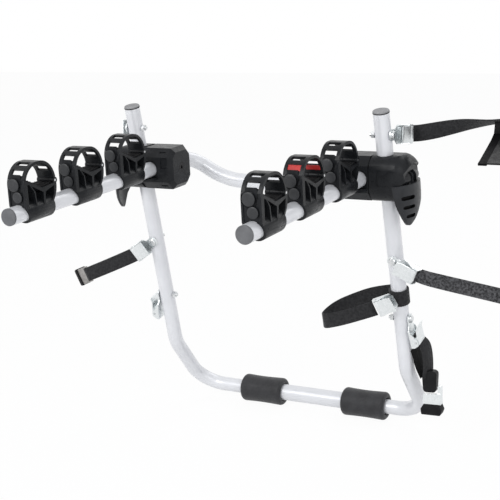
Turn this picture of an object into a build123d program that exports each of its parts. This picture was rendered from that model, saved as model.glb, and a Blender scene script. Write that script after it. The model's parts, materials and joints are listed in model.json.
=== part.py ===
from build123d import *
import os
from math import cos, radians, sin, tan

os.makedirs("parts", exist_ok=True)

# Frame: X runs across the car, minus Y points away from it, Z is up, all in millimetres.
# The origin is the middle of the hinge axis that both carrying arms turn about.

# Driving dimensions of the tubes
tube_dia = 28.0
tube_wall = 1.5
tube_fit = 0.3
post_spread = 490.0
post_lean = 11.2
stub_height = 114.0
post_drop = 378.0
kick_angle = 27.0
kick_length = 148.0
kick_bend_radius = 60.0
corner_bend_radius = 55.0
bar_tube_wall = 1.7
bar_tube_left = 98.0
bar_tube_right = 123.0
bar_insertion = 42.0
pad_dia = 55.0
pad_length = 90.0
pad_edge = 5.0
arm_spread = 414.0
arm_reach = 440.0
rear_bar_setback = 112.0
rear_bar_drop = 45.0
rear_slope = 31.0
elbow_radius = 40.0
rear_sweep_radius = 160.0
cap_thickness = 3.5
cap_plug_length = 12.0
cap_edge = 0.8
overrun = 2.0
running_gap = 0.3

# Driving dimensions of the hubs
hub_inner_end = 160.0
hub_outer_end = 288.0
hub_split = 226.0
hub_half_depth = 37.0
hub_half_height = 38.0
hub_chamfer = 15.0
hub_cap_taper = 8.0
hub_shoulder = 12.0
hub_round = 26.0
disc_thickness = 2.0
disc_dia = 62.0
hub_recess_depth = 1.5
pivot_bolt_dia = 10.0
pivot_head_dia = 17.0
pivot_head_height = 6.0
bolt_eye_flat = 0.6
tongue_reach = 24.0
tongue_width = 32.0
tongue_tip_width = 18.0
tongue_thickness = 4.0
socket_flare = 2.0

# Driving dimensions of the quick-release levers
lever_radius = 77.8
lever_wall = 5.0
lever_depth = 84.0
lever_drop = 86.0
lever_top = 8.0
lever_axis_back = 5.0
lever_neck_width = 22.0
lever_eye_dia = 18.0
lever_rim = 1.4
lever_pin_dia = 6.0

# Driving dimensions of the cradles
cradle_spacing = 133.0
cradle_first = 380.0
cradle_width = 33.0
cradle_depth = 82.0
cradle_rise = 77.6
cradle_wall = 4.6
cradle_front_wall = 8.0
cradle_web = 3.0
cradle_shell = 4.0
cradle_rim_width = 3.6
cradle_rim_height = 1.4
window_length = 10.5
window_width = 22.0
latch_dia = 17.0
latch_groove = 1.6
latch_tab_dia = 25.0
screw_cap_dia = 14.0
screw_cap_height = 2.4
hinge_pin_dia = 4.0
hinge_knuckle_dia = 10.0
liner_thickness = 2.6
liner_ridge = 0.9

# Driving dimensions of the straps, buckles and hooks
webbing_width = 28.0
webbing_thickness = 1.8
buckle_length = 52.0
buckle_width = 32.0
buckle_sheet = 2.0
buckle_height = 14.0
buckle_pin_dia = 4.0
eye_dia = 20.0
strap_bolt_dia = 6.0
bolt_head_dia = 14.0
bolt_head_height = 4.0
nut_across = 11.0
nut_height = 6.0
hook_sheet = 3.0
hook_width = 33.0
sleeve_wall = 3.0

# Derived places on the frame
tube_radius = tube_dia / 2
bore_radius = tube_radius + tube_fit
post_x = post_spread / 2
arm_x = arm_spread / 2
lean = radians(post_lean)
post_up = Vector(0, -sin(lean), cos(lean))
post_front = Vector(0, -cos(lean), -sin(lean))
kick = radians(post_lean + kick_angle)
knee = post_up * -post_drop
corner = knee + Vector(0, sin(kick), -cos(kick)) * kick_length


def on_post(distance, x=post_x):
    """Point on a post's centre line, measured along it from the hinge axis."""
    return Vector(x, 0, 0) + post_up * distance


def save(builder, name):
    """Label a finished piece and write its file."""
    builder.part.label = name
    export_step(builder.part, f"parts/{name}.step")


def tube_along(points, radii, outer, wall):
    """Round tube of one wall along straight runs joined by tangent bends."""
    with BuildPart() as tube:
        with BuildLine() as route:
            FilletPolyline(*points, radius=radii)
        with BuildSketch(Plane(origin=route.line @ 0, z_dir=route.line % 0)):
            Circle(outer / 2)
            Circle(outer / 2 - wall, mode=Mode.SUBTRACT)
        sweep()
    return tube.part


# Support frame: two bent side tubes that slide into a wider tube at the bottom
bar_tube_outer = tube_dia + 2 * tube_fit + 2 * bar_tube_wall
bolt_hole_dia = strap_bolt_dia + 2 * tube_fit
top_bolt_up = 74.5
mid_bolt_down = 152.0
low_bolt_down = 271.0
side_bolts = (top_bolt_up, -low_bolt_down)


def side_tube(inner_end):
    """Right side tube, from its open top to the end inside the bottom tube."""
    points = (
        on_post(stub_height),
        Vector(post_x, 0, 0) + knee,
        Vector(post_x, 0, 0) + corner,
        Vector(inner_end, corner.Y, corner.Z),
    )
    with BuildPart() as tube:
        add(tube_along(points, [kick_bend_radius, corner_bend_radius], tube_dia, tube_wall))
        with BuildSketch(*[Plane(origin=on_post(d), z_dir=(1, 0, 0)) for d in side_bolts]):
            Circle(bolt_hole_dia / 2)
        extrude(amount=tube_dia, both=True, mode=Mode.SUBTRACT)
        with BuildSketch(Plane(origin=on_post(-mid_bolt_down), z_dir=post_front)):
            Circle(bolt_hole_dia / 2)
        extrude(amount=tube_dia, both=True, mode=Mode.SUBTRACT)
        with BuildSketch(Plane(origin=on_post(0), z_dir=(1, 0, 0))):
            Circle(pivot_bolt_dia / 2 + tube_fit)
        extrude(amount=tube_dia, both=True, mode=Mode.SUBTRACT)
    return tube.part


with BuildPart() as side_tube_right:
    add(side_tube(bar_tube_right - bar_insertion))
save(side_tube_right, "side_tube_right")

with BuildPart() as side_tube_left:
    mirror(side_tube(bar_tube_left - bar_insertion), about=Plane.YZ)
save(side_tube_left, "side_tube_left")

with BuildPart() as center_tube:
    with BuildSketch(Plane(origin=(-bar_tube_left, corner.Y, corner.Z), z_dir=(1, 0, 0))):
        Circle(bar_tube_outer / 2)
        Circle(tube_radius + tube_fit, mode=Mode.SUBTRACT)
    extrude(amount=bar_tube_left + bar_tube_right)
save(center_tube, "center_tube")

for side, reach, name in ((-1, bar_tube_left, "left"), (1, bar_tube_right, "right")):
    with BuildPart() as foam_pad:
        with BuildSketch(Plane(origin=(side * reach, corner.Y, corner.Z), z_dir=(1, 0, 0))):
            Circle(pad_dia / 2)
            Circle(bar_tube_outer / 2 + tube_fit, mode=Mode.SUBTRACT)
        extrude(amount=pad_length / 2, both=True)
        rims = foam_pad.edges().filter_by(GeomType.CIRCLE)
        fillet(rims.group_by(SortBy.RADIUS)[-1], radius=pad_edge)
        with BuildSketch(Plane(origin=(side * reach, corner.Y, corner.Z), z_dir=(side, 0, 0))):
            Circle(bar_tube_outer / 2 + tube_fit)
            Circle(tube_radius + tube_fit, mode=Mode.SUBTRACT)
        extrude(amount=pad_length / 2)
    save(foam_pad, f"foam_pad_{name}")


def tube_cap(place):
    """Flat cap with a plug that fits inside a tube, seen along the plane's axis."""
    with BuildPart() as cap:
        with BuildSketch(place):
            Circle(tube_radius)
        extrude(amount=cap_thickness)
        chamfer(cap.faces().sort_by(Axis(place.origin, place.z_dir))[-1].edges(), length=cap_edge)
        with BuildSketch(place):
            Circle(tube_radius - tube_wall - tube_fit / 3)
        extrude(amount=-cap_plug_length)
    return cap.part


with BuildPart() as post_caps:
    for side in (-1, 1):
        add(tube_cap(Plane(origin=on_post(stub_height, side * post_x), z_dir=post_up)))
save(post_caps, "post_caps")

# Arm frame: one tube bent into a U, both arms and the bar behind the hubs
slope_run = rear_bar_drop / tan(radians(rear_slope))
arm_route = [
    Vector(arm_x, -arm_reach, 0),
    Vector(arm_x, rear_bar_setback, 0),
    Vector(arm_x - slope_run, rear_bar_setback, -rear_bar_drop),
    Vector(slope_run - arm_x, rear_bar_setback, -rear_bar_drop),
    Vector(-arm_x, rear_bar_setback, 0),
    Vector(-arm_x, -arm_reach, 0),
]
arm_radii = [elbow_radius, rear_sweep_radius, rear_sweep_radius, elbow_radius]
with BuildPart() as arm_frame:
    add(tube_along(arm_route, arm_radii, tube_dia, tube_wall))
    with BuildSketch(Plane(origin=(-hub_split, 0, 0), z_dir=(1, 0, 0))):
        Circle(pivot_bolt_dia / 2 + tube_fit)
    extrude(amount=2 * hub_split, mode=Mode.SUBTRACT)
save(arm_frame, "arm_frame")

with BuildPart() as arm_end_caps:
    for side in (-1, 1):
        add(tube_cap(Plane(origin=(side * arm_x, -arm_reach, 0), z_dir=(0, -1, 0))))
save(arm_end_caps, "arm_end_caps")

# Hubs: the inboard half clamps the arm, the outboard half clamps the post
arm_hub_start = hub_inner_end + hub_cap_taper
arm_hub_end = hub_split - disc_thickness / 2 - running_gap
post_hub_start = hub_split + disc_thickness / 2
recess_height_share = 0.52
recess_width_share = 0.34
slot_height_share = 0.11


def hub_plane(x, facing=1):
    """Upright plane across the hinge axis at a distance out from the middle."""
    return Plane(origin=(x, 0, 0), x_dir=(0, facing, 0), z_dir=(facing, 0, 0))


with BuildPart() as arm_housing:
    with BuildSketch(hub_plane(arm_hub_start)) as hub_face:
        Rectangle(2 * hub_half_depth, 2 * hub_half_height)
        chamfer(hub_face.vertices(), length=hub_chamfer)
    extrude(amount=arm_hub_end - arm_hub_start)
    with BuildSketch(hub_plane(arm_hub_start, -1)) as cap_face:
        Rectangle(2 * hub_half_depth, 2 * hub_half_height)
        chamfer(cap_face.vertices(), length=hub_chamfer)
    extrude(amount=hub_cap_taper, taper=45)
    # Tongue under the arm
    with BuildSketch(Plane.XY.offset(-tube_radius - tongue_thickness - tube_fit)):
        with BuildLine():
            Polyline(
                (arm_x - tongue_width / 2, -hub_half_depth + overrun),
                (arm_x - tongue_width / 2, -hub_half_depth),
                (arm_x - tongue_tip_width / 2, -hub_half_depth - tongue_reach),
                (arm_x + tongue_tip_width / 2, -hub_half_depth - tongue_reach),
                (arm_x + tongue_width / 2, -hub_half_depth),
                (arm_x + tongue_width / 2, -hub_half_depth + overrun),
                close=True,
            )
        make_face()
    extrude(amount=tongue_thickness)
    # Bore of the arm with a flared mouth, and the pivot bolt's hole
    with BuildSketch(Plane.XZ):
        with Locations((arm_x, 0)):
            Circle(bore_radius)
    extrude(amount=hub_half_depth + tongue_reach + overrun, both=True, mode=Mode.SUBTRACT)
    with BuildSketch(Plane.XZ.offset(hub_half_depth)):
        with Locations((arm_x, 0)):
            Circle(bore_radius + socket_flare)
    extrude(amount=-socket_flare, taper=45, mode=Mode.SUBTRACT)
    with BuildSketch(hub_plane(hub_inner_end - overrun)):
        Circle(pivot_bolt_dia / 2 + tube_fit)
    extrude(amount=hub_split - hub_inner_end + overrun, mode=Mode.SUBTRACT)
    with BuildSketch(hub_plane(hub_inner_end - overrun)):
        Circle(pivot_head_dia / 2 + tube_fit)
    extrude(amount=overrun + pivot_head_height, mode=Mode.SUBTRACT)
    # Shallow panels in the front, the upper and the lower bevel
    recess_x = (arm_hub_start + arm_x - bore_radius) / 2
    recess_width = recess_width_share * (arm_x - arm_hub_start)
    with BuildSketch(Plane.XZ.offset(hub_half_depth)):
        with Locations((recess_x - recess_width / 3, hub_half_height / 3)):
            Rectangle(recess_width, recess_height_share * hub_half_height)
    extrude(amount=-hub_recess_depth, mode=Mode.SUBTRACT)
    for facing in (-1, 1):
        bevel = Plane(
            origin=(recess_x, -hub_half_depth + hub_chamfer / 2, facing * (hub_half_height - hub_chamfer / 2)),
            x_dir=(1, 0, 0),
            z_dir=(0, -1, facing),
        )
        with BuildSketch(bevel):
            Rectangle(recess_width, slot_height_share * hub_half_height)
        extrude(amount=-hub_recess_depth, mode=Mode.SUBTRACT)

with BuildPart() as arm_housing_right:
    add(arm_housing.part)
save(arm_housing_right, "arm_housing_right")

with BuildPart() as arm_housing_left:
    mirror(arm_housing.part, about=Plane.YZ)
save(arm_housing_left, "arm_housing_left")

# Outboard half of the hub, with the seat of the quick-release lever cut in it
lever_centre_x = hub_outer_end - lever_radius + 2 * overrun
lever_seat_radius = lever_radius - lever_wall - running_gap
lever_front_y = lever_axis_back - lever_depth / 2
panel_width_share = 0.36
panel_height_share = 0.7
neck_gap = 1.0
panel_shift = 7.2
swing_room_top = 14.8
swing_room_depth = 3.0
swing_room_back = 1.8

with BuildPart() as upright_housing:
    with BuildSketch(hub_plane(post_hub_start)):
        RectangleRounded(2 * hub_half_depth + 2 * overrun, 2 * hub_half_height + overrun, hub_round)
    extrude(amount=hub_outer_end - post_hub_start)
    fillet(upright_housing.faces().sort_by(Axis.X)[-1].edges(), radius=hub_shoulder)
    # Seat for the lever below its top edge
    with BuildSketch(Plane.XY.offset(-lever_top + running_gap)):
        with Locations((lever_centre_x, lever_axis_back)):
            Circle(2 * lever_radius)
            Circle(lever_seat_radius, mode=Mode.SUBTRACT)
    extrude(amount=-2 * hub_half_height, mode=Mode.SUBTRACT)
    # Room in the end face for the lever's top edge as it swings out
    with BuildSketch(Plane.XZ):
        Polygon(
            (hub_outer_end + overrun, -lever_top),
            (hub_outer_end + overrun, swing_room_top),
            (hub_outer_end - swing_room_depth, swing_room_top),
            (hub_outer_end - swing_room_back, 0),
            (hub_outer_end - lever_eye_dia / 2, 0),
            (hub_outer_end - lever_eye_dia / 2, -lever_top),
            align=None,
        )
        with Locations((hub_outer_end - lever_eye_dia / 2, 0)):
            Circle(lever_top - 2 * running_gap, mode=Mode.SUBTRACT)
    extrude(amount=lever_depth, both=True, mode=Mode.SUBTRACT)
    # Slot that the lever's eye turns in
    with BuildSketch(Plane.XZ):
        with Locations((hub_outer_end - lever_eye_dia / 2, 0)):
            Circle(lever_eye_dia / 2 + neck_gap)
        with Locations((hub_outer_end, lever_eye_dia / 2 + 3 * neck_gap)):
            Rectangle(lever_eye_dia, 3 * lever_eye_dia / 2 + 4 * neck_gap, align=(Align.CENTER, Align.MAX))
    extrude(amount=lever_neck_width / 2 + neck_gap, both=True, mode=Mode.SUBTRACT)
    with BuildSketch(Plane(origin=on_post(0), z_dir=post_up)):
        Circle(bore_radius)
    extrude(amount=2 * hub_half_height, both=True, mode=Mode.SUBTRACT)
    with BuildSketch(hub_plane(post_hub_start - overrun)):
        Circle(pivot_bolt_dia / 2 + tube_fit)
    extrude(amount=hub_outer_end - post_hub_start + 2 * overrun, mode=Mode.SUBTRACT)
    # Shallow panel in the front of the barrel
    panel_height = panel_height_share * hub_half_height
    with BuildSketch(Plane.XZ.offset(hub_half_depth + overrun)):
        with Locations((post_x + panel_shift, panel_height / 8)):
            RectangleRounded(panel_width_share * (hub_outer_end - post_hub_start), panel_height, overrun)
    extrude(amount=-hub_recess_depth / 2, mode=Mode.SUBTRACT)

with BuildPart() as upright_housing_right:
    add(upright_housing.part)
save(upright_housing_right, "upright_housing_right")

with BuildPart() as upright_housing_left:
    mirror(upright_housing.part, about=Plane.YZ)
save(upright_housing_left, "upright_housing_left")

with BuildPart() as friction_discs:
    for side in (-1, 1):
        with BuildSketch(hub_plane(side * hub_split)):
            Circle(disc_dia / 2)
            Circle(pivot_bolt_dia / 2 + tube_fit, mode=Mode.SUBTRACT)
        extrude(amount=disc_thickness / 2, both=True)
save(friction_discs, "friction_discs")

# Pivot bolts: head in the inboard cap, eye for the lever's pin at the outboard end
lever_pin_x = hub_outer_end - lever_eye_dia / 2
bolt_eye_width = pivot_bolt_dia - 2 * bolt_eye_flat
with BuildPart() as pivot_bolt:
    with BuildSketch(hub_plane(hub_inner_end)):
        Circle(pivot_head_dia / 2)
    extrude(amount=pivot_head_height)
    with BuildSketch(hub_plane(hub_inner_end)):
        RegularPolygon(pivot_bolt_dia / 3, 6)
    extrude(amount=pivot_head_height / 2, mode=Mode.SUBTRACT)
    with BuildSketch(hub_plane(hub_inner_end + pivot_head_height)):
        Circle(pivot_bolt_dia / 2)
    extrude(amount=lever_pin_x - hub_inner_end - pivot_head_height)
    with BuildSketch(Plane.XZ):
        with Locations((lever_pin_x, 0)):
            Circle(pivot_bolt_dia * 3 / 5)
    extrude(amount=bolt_eye_width / 2, both=True)
    with BuildSketch(Plane.XZ):
        with Locations((lever_pin_x, 0)):
            Circle(lever_pin_dia / 2 + tube_fit / 2)
    extrude(amount=bolt_eye_width, both=True, mode=Mode.SUBTRACT)

with BuildPart() as pivot_bolts:
    add(pivot_bolt.part)
    mirror(pivot_bolt.part, about=Plane.YZ)
save(pivot_bolts, "pivot_bolts")

# Quick-release lever: a curved, slotted thumb plate with an eye on the bolt's pin
lever_outline_share = (
    (0.0, 0.0),
    (0.03, 0.27),
    (0.10, 0.52),
    (0.22, 0.80),
    (0.36, 0.96),
    (0.54, 1.0),
    (0.70, 0.90),
    (0.86, 0.62),
    (0.97, 0.28),
    (1.0, 0.0),
)
slot_top_share = (0.27, 0.48, 0.68)
slot_front_share = (0.16, 0.21, 0.30)
slot_back_share = (0.56, 0.58, 0.58)
slot_depth_share = 0.125
slot_tilt = 12.0


def lever_point(along, down):
    """Point of the lever's side view from shares of its depth and drop."""
    return (lever_front_y + along * lever_depth, -lever_top - down * (lever_drop - lever_top))


with BuildPart() as lever_blank:
    with BuildSketch(Plane.XY.offset(-lever_drop)):
        with Locations((lever_centre_x, lever_axis_back)):
            Circle(lever_radius)
            Circle(lever_radius - lever_wall, mode=Mode.SUBTRACT)
        with Locations((lever_centre_x - lever_radius, 0)):
            Rectangle(2 * lever_radius, 3 * lever_radius, mode=Mode.SUBTRACT)
    extrude(amount=lever_drop - lever_top)
    # Outline seen from the side
    with BuildSketch(hub_plane(lever_centre_x)):
        with BuildLine():
            Spline(*[lever_point(*share) for share in lever_outline_share])
            Line(lever_point(1, 0), lever_point(0, 0))
        make_face()
    extrude(amount=2 * lever_radius, mode=Mode.INTERSECT)
    # Finger slots
    for top, front, back in zip(slot_top_share, slot_front_share, slot_back_share):
        start = lever_point(front, top)
        end = lever_point(back, top + slot_depth_share)
        slot_place = Plane(
            origin=(lever_centre_x, (start[0] + end[0]) / 2, (start[1] + end[1]) / 2),
            x_dir=(0, cos(radians(slot_tilt)), sin(radians(slot_tilt))),
            z_dir=(1, 0, 0),
        )
        with BuildSketch(slot_place):
            RectangleRounded(end[0] - start[0], start[1] - end[1], lever_rim)
        extrude(amount=2 * lever_radius, mode=Mode.SUBTRACT)

with BuildPart() as cam_lever:
    add(lever_blank.part)
    # Neck and eye
    with BuildSketch(Plane.XZ):
        with Locations((lever_pin_x, 0)):
            Circle(lever_eye_dia / 2)
        with BuildLine():
            Polyline(
                (lever_pin_x, lever_eye_dia / 2),
                (lever_pin_x + lever_eye_dia / 2, 0),
                (lever_centre_x + lever_radius - lever_wall / 2, -lever_top),
                (lever_centre_x + lever_radius - lever_wall / 2, -2 * lever_top),
                (lever_centre_x + lever_radius - lever_wall - running_gap, -2 * lever_top),
                (lever_pin_x, -lever_eye_dia / 2),
                close=True,
            )
        make_face()
    extrude(amount=lever_neck_width / 2, both=True)
    with BuildSketch(Plane.XZ):
        with Locations((lever_pin_x, 0)):
            Rectangle(2 * lever_eye_dia, 2 * pivot_bolt_dia + overrun)
    extrude(amount=pivot_bolt_dia / 2 + running_gap, both=True, mode=Mode.SUBTRACT)
    with BuildSketch(Plane.XZ):
        with Locations((lever_pin_x, 0)):
            Circle(lever_pin_dia / 2 + tube_fit / 2)
    extrude(amount=2 * lever_neck_width, both=True, mode=Mode.SUBTRACT)

with BuildPart() as cam_lever_right:
    add(cam_lever.part)
save(cam_lever_right, "cam_lever_right")

with BuildPart() as cam_lever_left:
    mirror(cam_lever.part, about=Plane.YZ)
save(cam_lever_left, "cam_lever_left")

with BuildPart() as lever_pins:
    for side in (-1, 1):
        with BuildSketch(Plane.XZ):
            with Locations((side * lever_pin_x, 0)):
                Circle(lever_pin_dia / 2)
        extrude(amount=lever_neck_width / 2 + neck_gap / 2, both=True)
save(lever_pins, "lever_pins")

# Cradles, drawn around the arm's axis with Y along the arm. Shares are of the ring's
# depth and of its rise above the arm's axis.
front_bottom_share = (-0.463, -0.10)
front_shoulder_share = (-0.463, 0.515)
front_top_share = (-0.36, 0.85)
crown_share = (0.012, 1.0)
rear_top_share = (0.40, 0.838)
rear_shoulder_share = (0.524, 0.515)
rear_waist_share = (0.50, 0.25)
rear_foot_share = (0.415, 0.11)
rear_heel_share = (0.329, 0.0)
belly_share = (0.213, -0.064)
keel_share = (-0.085, -0.10)
ring_centre_share = (0.037, 0.515)
split_front_share = (-0.55, 0.705)
split_rear_share = (0.65, 0.49)
saddle_front_share = (-0.37, 0.655)
saddle_low_share = (0.084, 0.438)
saddle_rear_share = (0.47, 0.472)
liner_rear_share = (0.42, 0.468)
latch_share = (-0.18, 0.59)
screw_share = (0.17, 0.34)
front_pocket_share = ((-0.36, 0.08), (-0.36, 0.59), (-0.29, 0.56), (-0.17, 0.40), (-0.135, 0.08))
middle_pocket_share = ((-0.10, 0.08), (-0.135, 0.40), (-0.25, 0.54), (0.11, 0.345), (0.095, 0.08))
rear_pocket_share = ((0.15, 0.10), (0.175, 0.345), (0.458, 0.42), (0.44, 0.25), (0.37, 0.13))
boss_share = ((0.122, 0.059), (0.305, 0.042))
nose_cut_share = ((-0.60, 0.155), (-0.467, 0.155), (-0.27, -0.26), (-0.60, -0.26))
window_angles = (36.0, 63.5, 116.5, 144.0)
front_y = front_bottom_share[0] * cradle_depth
half_width = cradle_width / 2
channel_half = half_width - cradle_rim_width


def ring_point(share):
    """Point of the cradle's side view from shares of its depth and rise."""
    return (share[0] * cradle_depth, share[1] * cradle_rise)


def side_face(*shares):
    """Closed polygon in the cradle's side view."""
    with BuildSketch(Plane.YZ) as face:
        with BuildLine():
            Polyline(*[ring_point(share) for share in shares], close=True)
        make_face()
    return face.sketch


def ring_face(inset=0.0):
    """Side view of the whole ring, drawn inward of its outer edge by an inset."""
    with BuildSketch(Plane.YZ) as face:
        with BuildLine():
            Line(ring_point(front_bottom_share), ring_point(front_shoulder_share))
            ThreePointArc(*map(ring_point, (front_shoulder_share, front_top_share, crown_share)))
            ThreePointArc(*map(ring_point, (crown_share, rear_top_share, rear_shoulder_share)))
            ThreePointArc(*map(ring_point, (rear_shoulder_share, rear_waist_share, rear_foot_share)))
            Polyline(*map(ring_point, (rear_foot_share, rear_heel_share, belly_share, keel_share)))
            Line(ring_point(keel_share), ring_point(front_bottom_share))
        make_face()
        if inset:
            offset(amount=-inset)
    return face.sketch


def above_split(gap):
    """Half plane above the line where the strap leaves the body, raised by a gap."""
    (front, low), (rear, high) = ring_point(split_front_share), ring_point(split_rear_share)
    with BuildSketch(Plane.YZ) as face:
        with BuildLine():
            Polyline(
                (front, low + gap),
                (rear, high + gap),
                (rear, 2 * cradle_rise),
                (front, 2 * cradle_rise),
                close=True,
            )
        make_face()
    return face.sketch


hinge_y, hinge_z = ring_point(rear_shoulder_share)
hinge_y = hinge_y - hinge_knuckle_dia / 5
latch_x, latch_z = latch_share[0] * half_width, latch_share[1] * cradle_rise
latch_arc = hinge_y - front_y - cradle_wall + cradle_rim_height / 2
knuckle_half = half_width / 2
front_plane = Plane.XZ.offset(-front_y)


def hinge_face(diameter):
    """Disc around the strap's hinge in the side view."""
    with BuildSketch(Plane.YZ) as face:
        with Locations((hinge_y, hinge_z)):
            Circle(diameter / 2)
    return face.sketch


def tongue_face(gap):
    """Front view of the strap's tongue, grown by a gap."""
    with BuildSketch(front_plane) as face:
        with Locations((latch_x, latch_z)):
            Circle(latch_tab_dia / 2 + gap)
        with Locations((0, latch_z + latch_tab_dia / 2)):
            Rectangle(latch_tab_dia * 3 / 4 + 2 * gap, latch_tab_dia)
    return face.sketch


with BuildPart() as cradle_strap:
    extrude(ring_face(), amount=half_width, both=True)
    extrude(ring_face(cradle_wall), amount=half_width, both=True, mode=Mode.SUBTRACT)
    extrude(above_split(running_gap), amount=half_width, both=True, mode=Mode.INTERSECT)
    # Channel between the raised rims
    with BuildSketch(Plane.YZ) as channel:
        add(ring_face(-cradle_rim_height))
        add(ring_face(cradle_rim_height), mode=Mode.SUBTRACT)
    extrude(amount=channel_half, both=True, mode=Mode.SUBTRACT)
    # Windows around the crown
    ring_centre = ring_point(ring_centre_share)
    for angle in window_angles:
        outward = (0, cos(radians(angle)), sin(radians(angle)))
        with BuildSketch(Plane(origin=(0, *ring_centre), x_dir=(1, 0, 0), z_dir=outward)):
            Rectangle(window_width, window_length)
        extrude(amount=cradle_rise, mode=Mode.SUBTRACT)
    # Hinge knuckle between the two of the body
    for facing in (-1, 1):
        face = hinge_face(hinge_knuckle_dia + 2 * running_gap)
        face = face.moved(Location((facing * (knuckle_half - running_gap), 0, 0)))
        extrude(face, amount=half_width, dir=(facing, 0, 0), mode=Mode.SUBTRACT)
    extrude(hinge_face(hinge_knuckle_dia), amount=knuckle_half - running_gap, both=True)
    extrude(hinge_face(hinge_pin_dia + tube_fit), amount=half_width, both=True, mode=Mode.SUBTRACT)

with BuildPart() as strap_tongue:
    extrude(tongue_face(0), amount=-cradle_front_wall)
    extrude(hinge_face(2 * latch_arc), amount=half_width, both=True, mode=Mode.SUBTRACT)
    with BuildSketch(front_plane):
        Rectangle(2 * cradle_width, 4 * cradle_rise)
    extrude(amount=-cradle_rim_height, mode=Mode.SUBTRACT)
    with BuildSketch(front_plane.offset(-cradle_rim_height)):
        with Locations((latch_x, latch_z)):
            Circle(latch_dia / 2 + latch_groove)
    extrude(amount=-latch_groove / 2, mode=Mode.SUBTRACT)
    with BuildSketch(front_plane.offset(-cradle_rim_height - latch_groove)):
        with Locations((latch_x, latch_z)):
            Circle(latch_dia / 2)
    extrude(amount=cradle_rim_height + 2 * latch_groove)
    chamfer(strap_tongue.faces().sort_by(Axis.Y)[0].edges(), length=cap_edge)

with BuildPart() as cradle_band:
    add(cradle_strap.part)
    add(strap_tongue.part)

with BuildPart() as cradle_body:
    extrude(ring_face(), amount=half_width, both=True)
    extrude(above_split(0), amount=half_width, both=True, mode=Mode.SUBTRACT)
    # Opening for the bicycle's tube, with a dished saddle below it
    with BuildSketch(Plane.YZ) as opening:
        with BuildLine():
            Polyline(
                (ring_point(saddle_front_share)[0], 2 * cradle_rise),
                ring_point(saddle_front_share),
                ring_point(saddle_low_share),
                ring_point(saddle_rear_share),
                (ring_point(saddle_rear_share)[0], 2 * cradle_rise),
                close=True,
            )
        make_face()
        fillet(opening.vertices().sort_by(Axis.Y)[0], radius=half_width)
    extrude(amount=half_width, both=True, mode=Mode.SUBTRACT)
    # Pockets from both sides leave a middle web, ribs and a saddle
    for pocket_share in (front_pocket_share, middle_pocket_share, rear_pocket_share):
        for facing in (-1, 1):
            face = side_face(*pocket_share).moved(Location((facing * cradle_web / 2, 0, 0)))
            extrude(face, amount=half_width, dir=(facing, 0, 0), mode=Mode.SUBTRACT)
    # Shell round the arm
    with BuildSketch(front_plane):
        Circle(bore_radius + cradle_shell)
    extrude(amount=-cradle_depth * (rear_foot_share[0] - front_bottom_share[0]))
    extrude(side_face(*nose_cut_share), amount=cradle_width, both=True, mode=Mode.SUBTRACT)
    with BuildSketch(front_plane.offset(overrun)):
        Circle(bore_radius)
    extrude(amount=-2 * cradle_depth, mode=Mode.SUBTRACT)
    # Channel between the rims in the front wall
    front_channel = cradle_rise * (split_front_share[1] - nose_cut_share[0][1])
    with BuildSketch(front_plane):
        with Locations((0, nose_cut_share[0][1] * cradle_rise)):
            Rectangle(2 * channel_half, front_channel, align=(Align.CENTER, Align.MIN))
    extrude(amount=-cradle_rim_height, mode=Mode.SUBTRACT)
    # Seat of the tongue, on an arc about the hinge
    with BuildPart(mode=Mode.PRIVATE) as tongue_seat:
        extrude(tongue_face(cap_edge), amount=cradle_front_wall, both=True)
        extrude(hinge_face(2 * (latch_arc - running_gap)), amount=cradle_width, both=True, mode=Mode.SUBTRACT)
    add(tongue_seat.part, mode=Mode.SUBTRACT)
    # Hinge knuckles at both sides and the pin's hole
    extrude(hinge_face(hinge_knuckle_dia), amount=half_width, both=True)
    extrude(hinge_face(hinge_knuckle_dia + 2 * running_gap), amount=knuckle_half, both=True, mode=Mode.SUBTRACT)
    extrude(hinge_face(hinge_pin_dia), amount=cradle_width, both=True, mode=Mode.SUBTRACT)
    # Screw hole in the front wall and the small bosses over the shell
    with BuildSketch(front_plane):
        with Locations((screw_share[0] * half_width, screw_share[1] * cradle_rise)):
            Circle(strap_bolt_dia / 2)
    extrude(amount=-cradle_front_wall, mode=Mode.SUBTRACT)
    for share in boss_share:
        with BuildSketch(Plane.YZ):
            with Locations(ring_point(share)):
                Circle(cradle_shell)
        extrude(amount=half_width + cap_edge, both=True)
    with BuildSketch(front_plane.offset(overrun)):
        Circle(bore_radius)
    extrude(amount=-2 * cradle_depth, mode=Mode.SUBTRACT)

# Rubber liner on the saddle, ridged across
with BuildPart() as cradle_liner:
    liner_places = [ring_point(s) for s in (saddle_front_share, saddle_low_share, liner_rear_share)]
    with BuildSketch(Plane.YZ) as liner_face:
        with BuildLine():
            Polyline(
                (liner_places[0][0] + running_gap, liner_places[0][1] + running_gap),
                (liner_places[1][0], liner_places[1][1] + running_gap),
                (liner_places[2][0] - running_gap, liner_places[2][1] + running_gap),
                (liner_places[2][0] - running_gap, liner_places[2][1] + liner_thickness),
                (liner_places[1][0], liner_places[1][1] + liner_thickness),
                (liner_places[0][0] + running_gap, liner_places[0][1] + liner_thickness),
                close=True,
            )
        make_face()
        fillet(liner_face.vertices().sort_by(Axis.Y)[0:2], radius=half_width)
        for start, end in ((liner_places[0], liner_places[1]), (liner_places[1], liner_places[2])):
            for share in (0.2, 0.35, 0.5, 0.65):
                ridge_y = start[0] + (end[0] - start[0]) * share
                ridge_z = start[1] + (end[1] - start[1]) * share
                with Locations((ridge_y, ridge_z + liner_thickness)):
                    Circle(liner_ridge)
    extrude(amount=channel_half, both=True)

cradle_places = []
for side, side_name in ((-1, "left"), (1, "right")):
    for count in range(3):
        place = (side * arm_x, count * cradle_spacing - cradle_first, 0)
        cradle_places.append((place, f"{side_name}_{count + 1}"))

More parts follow.
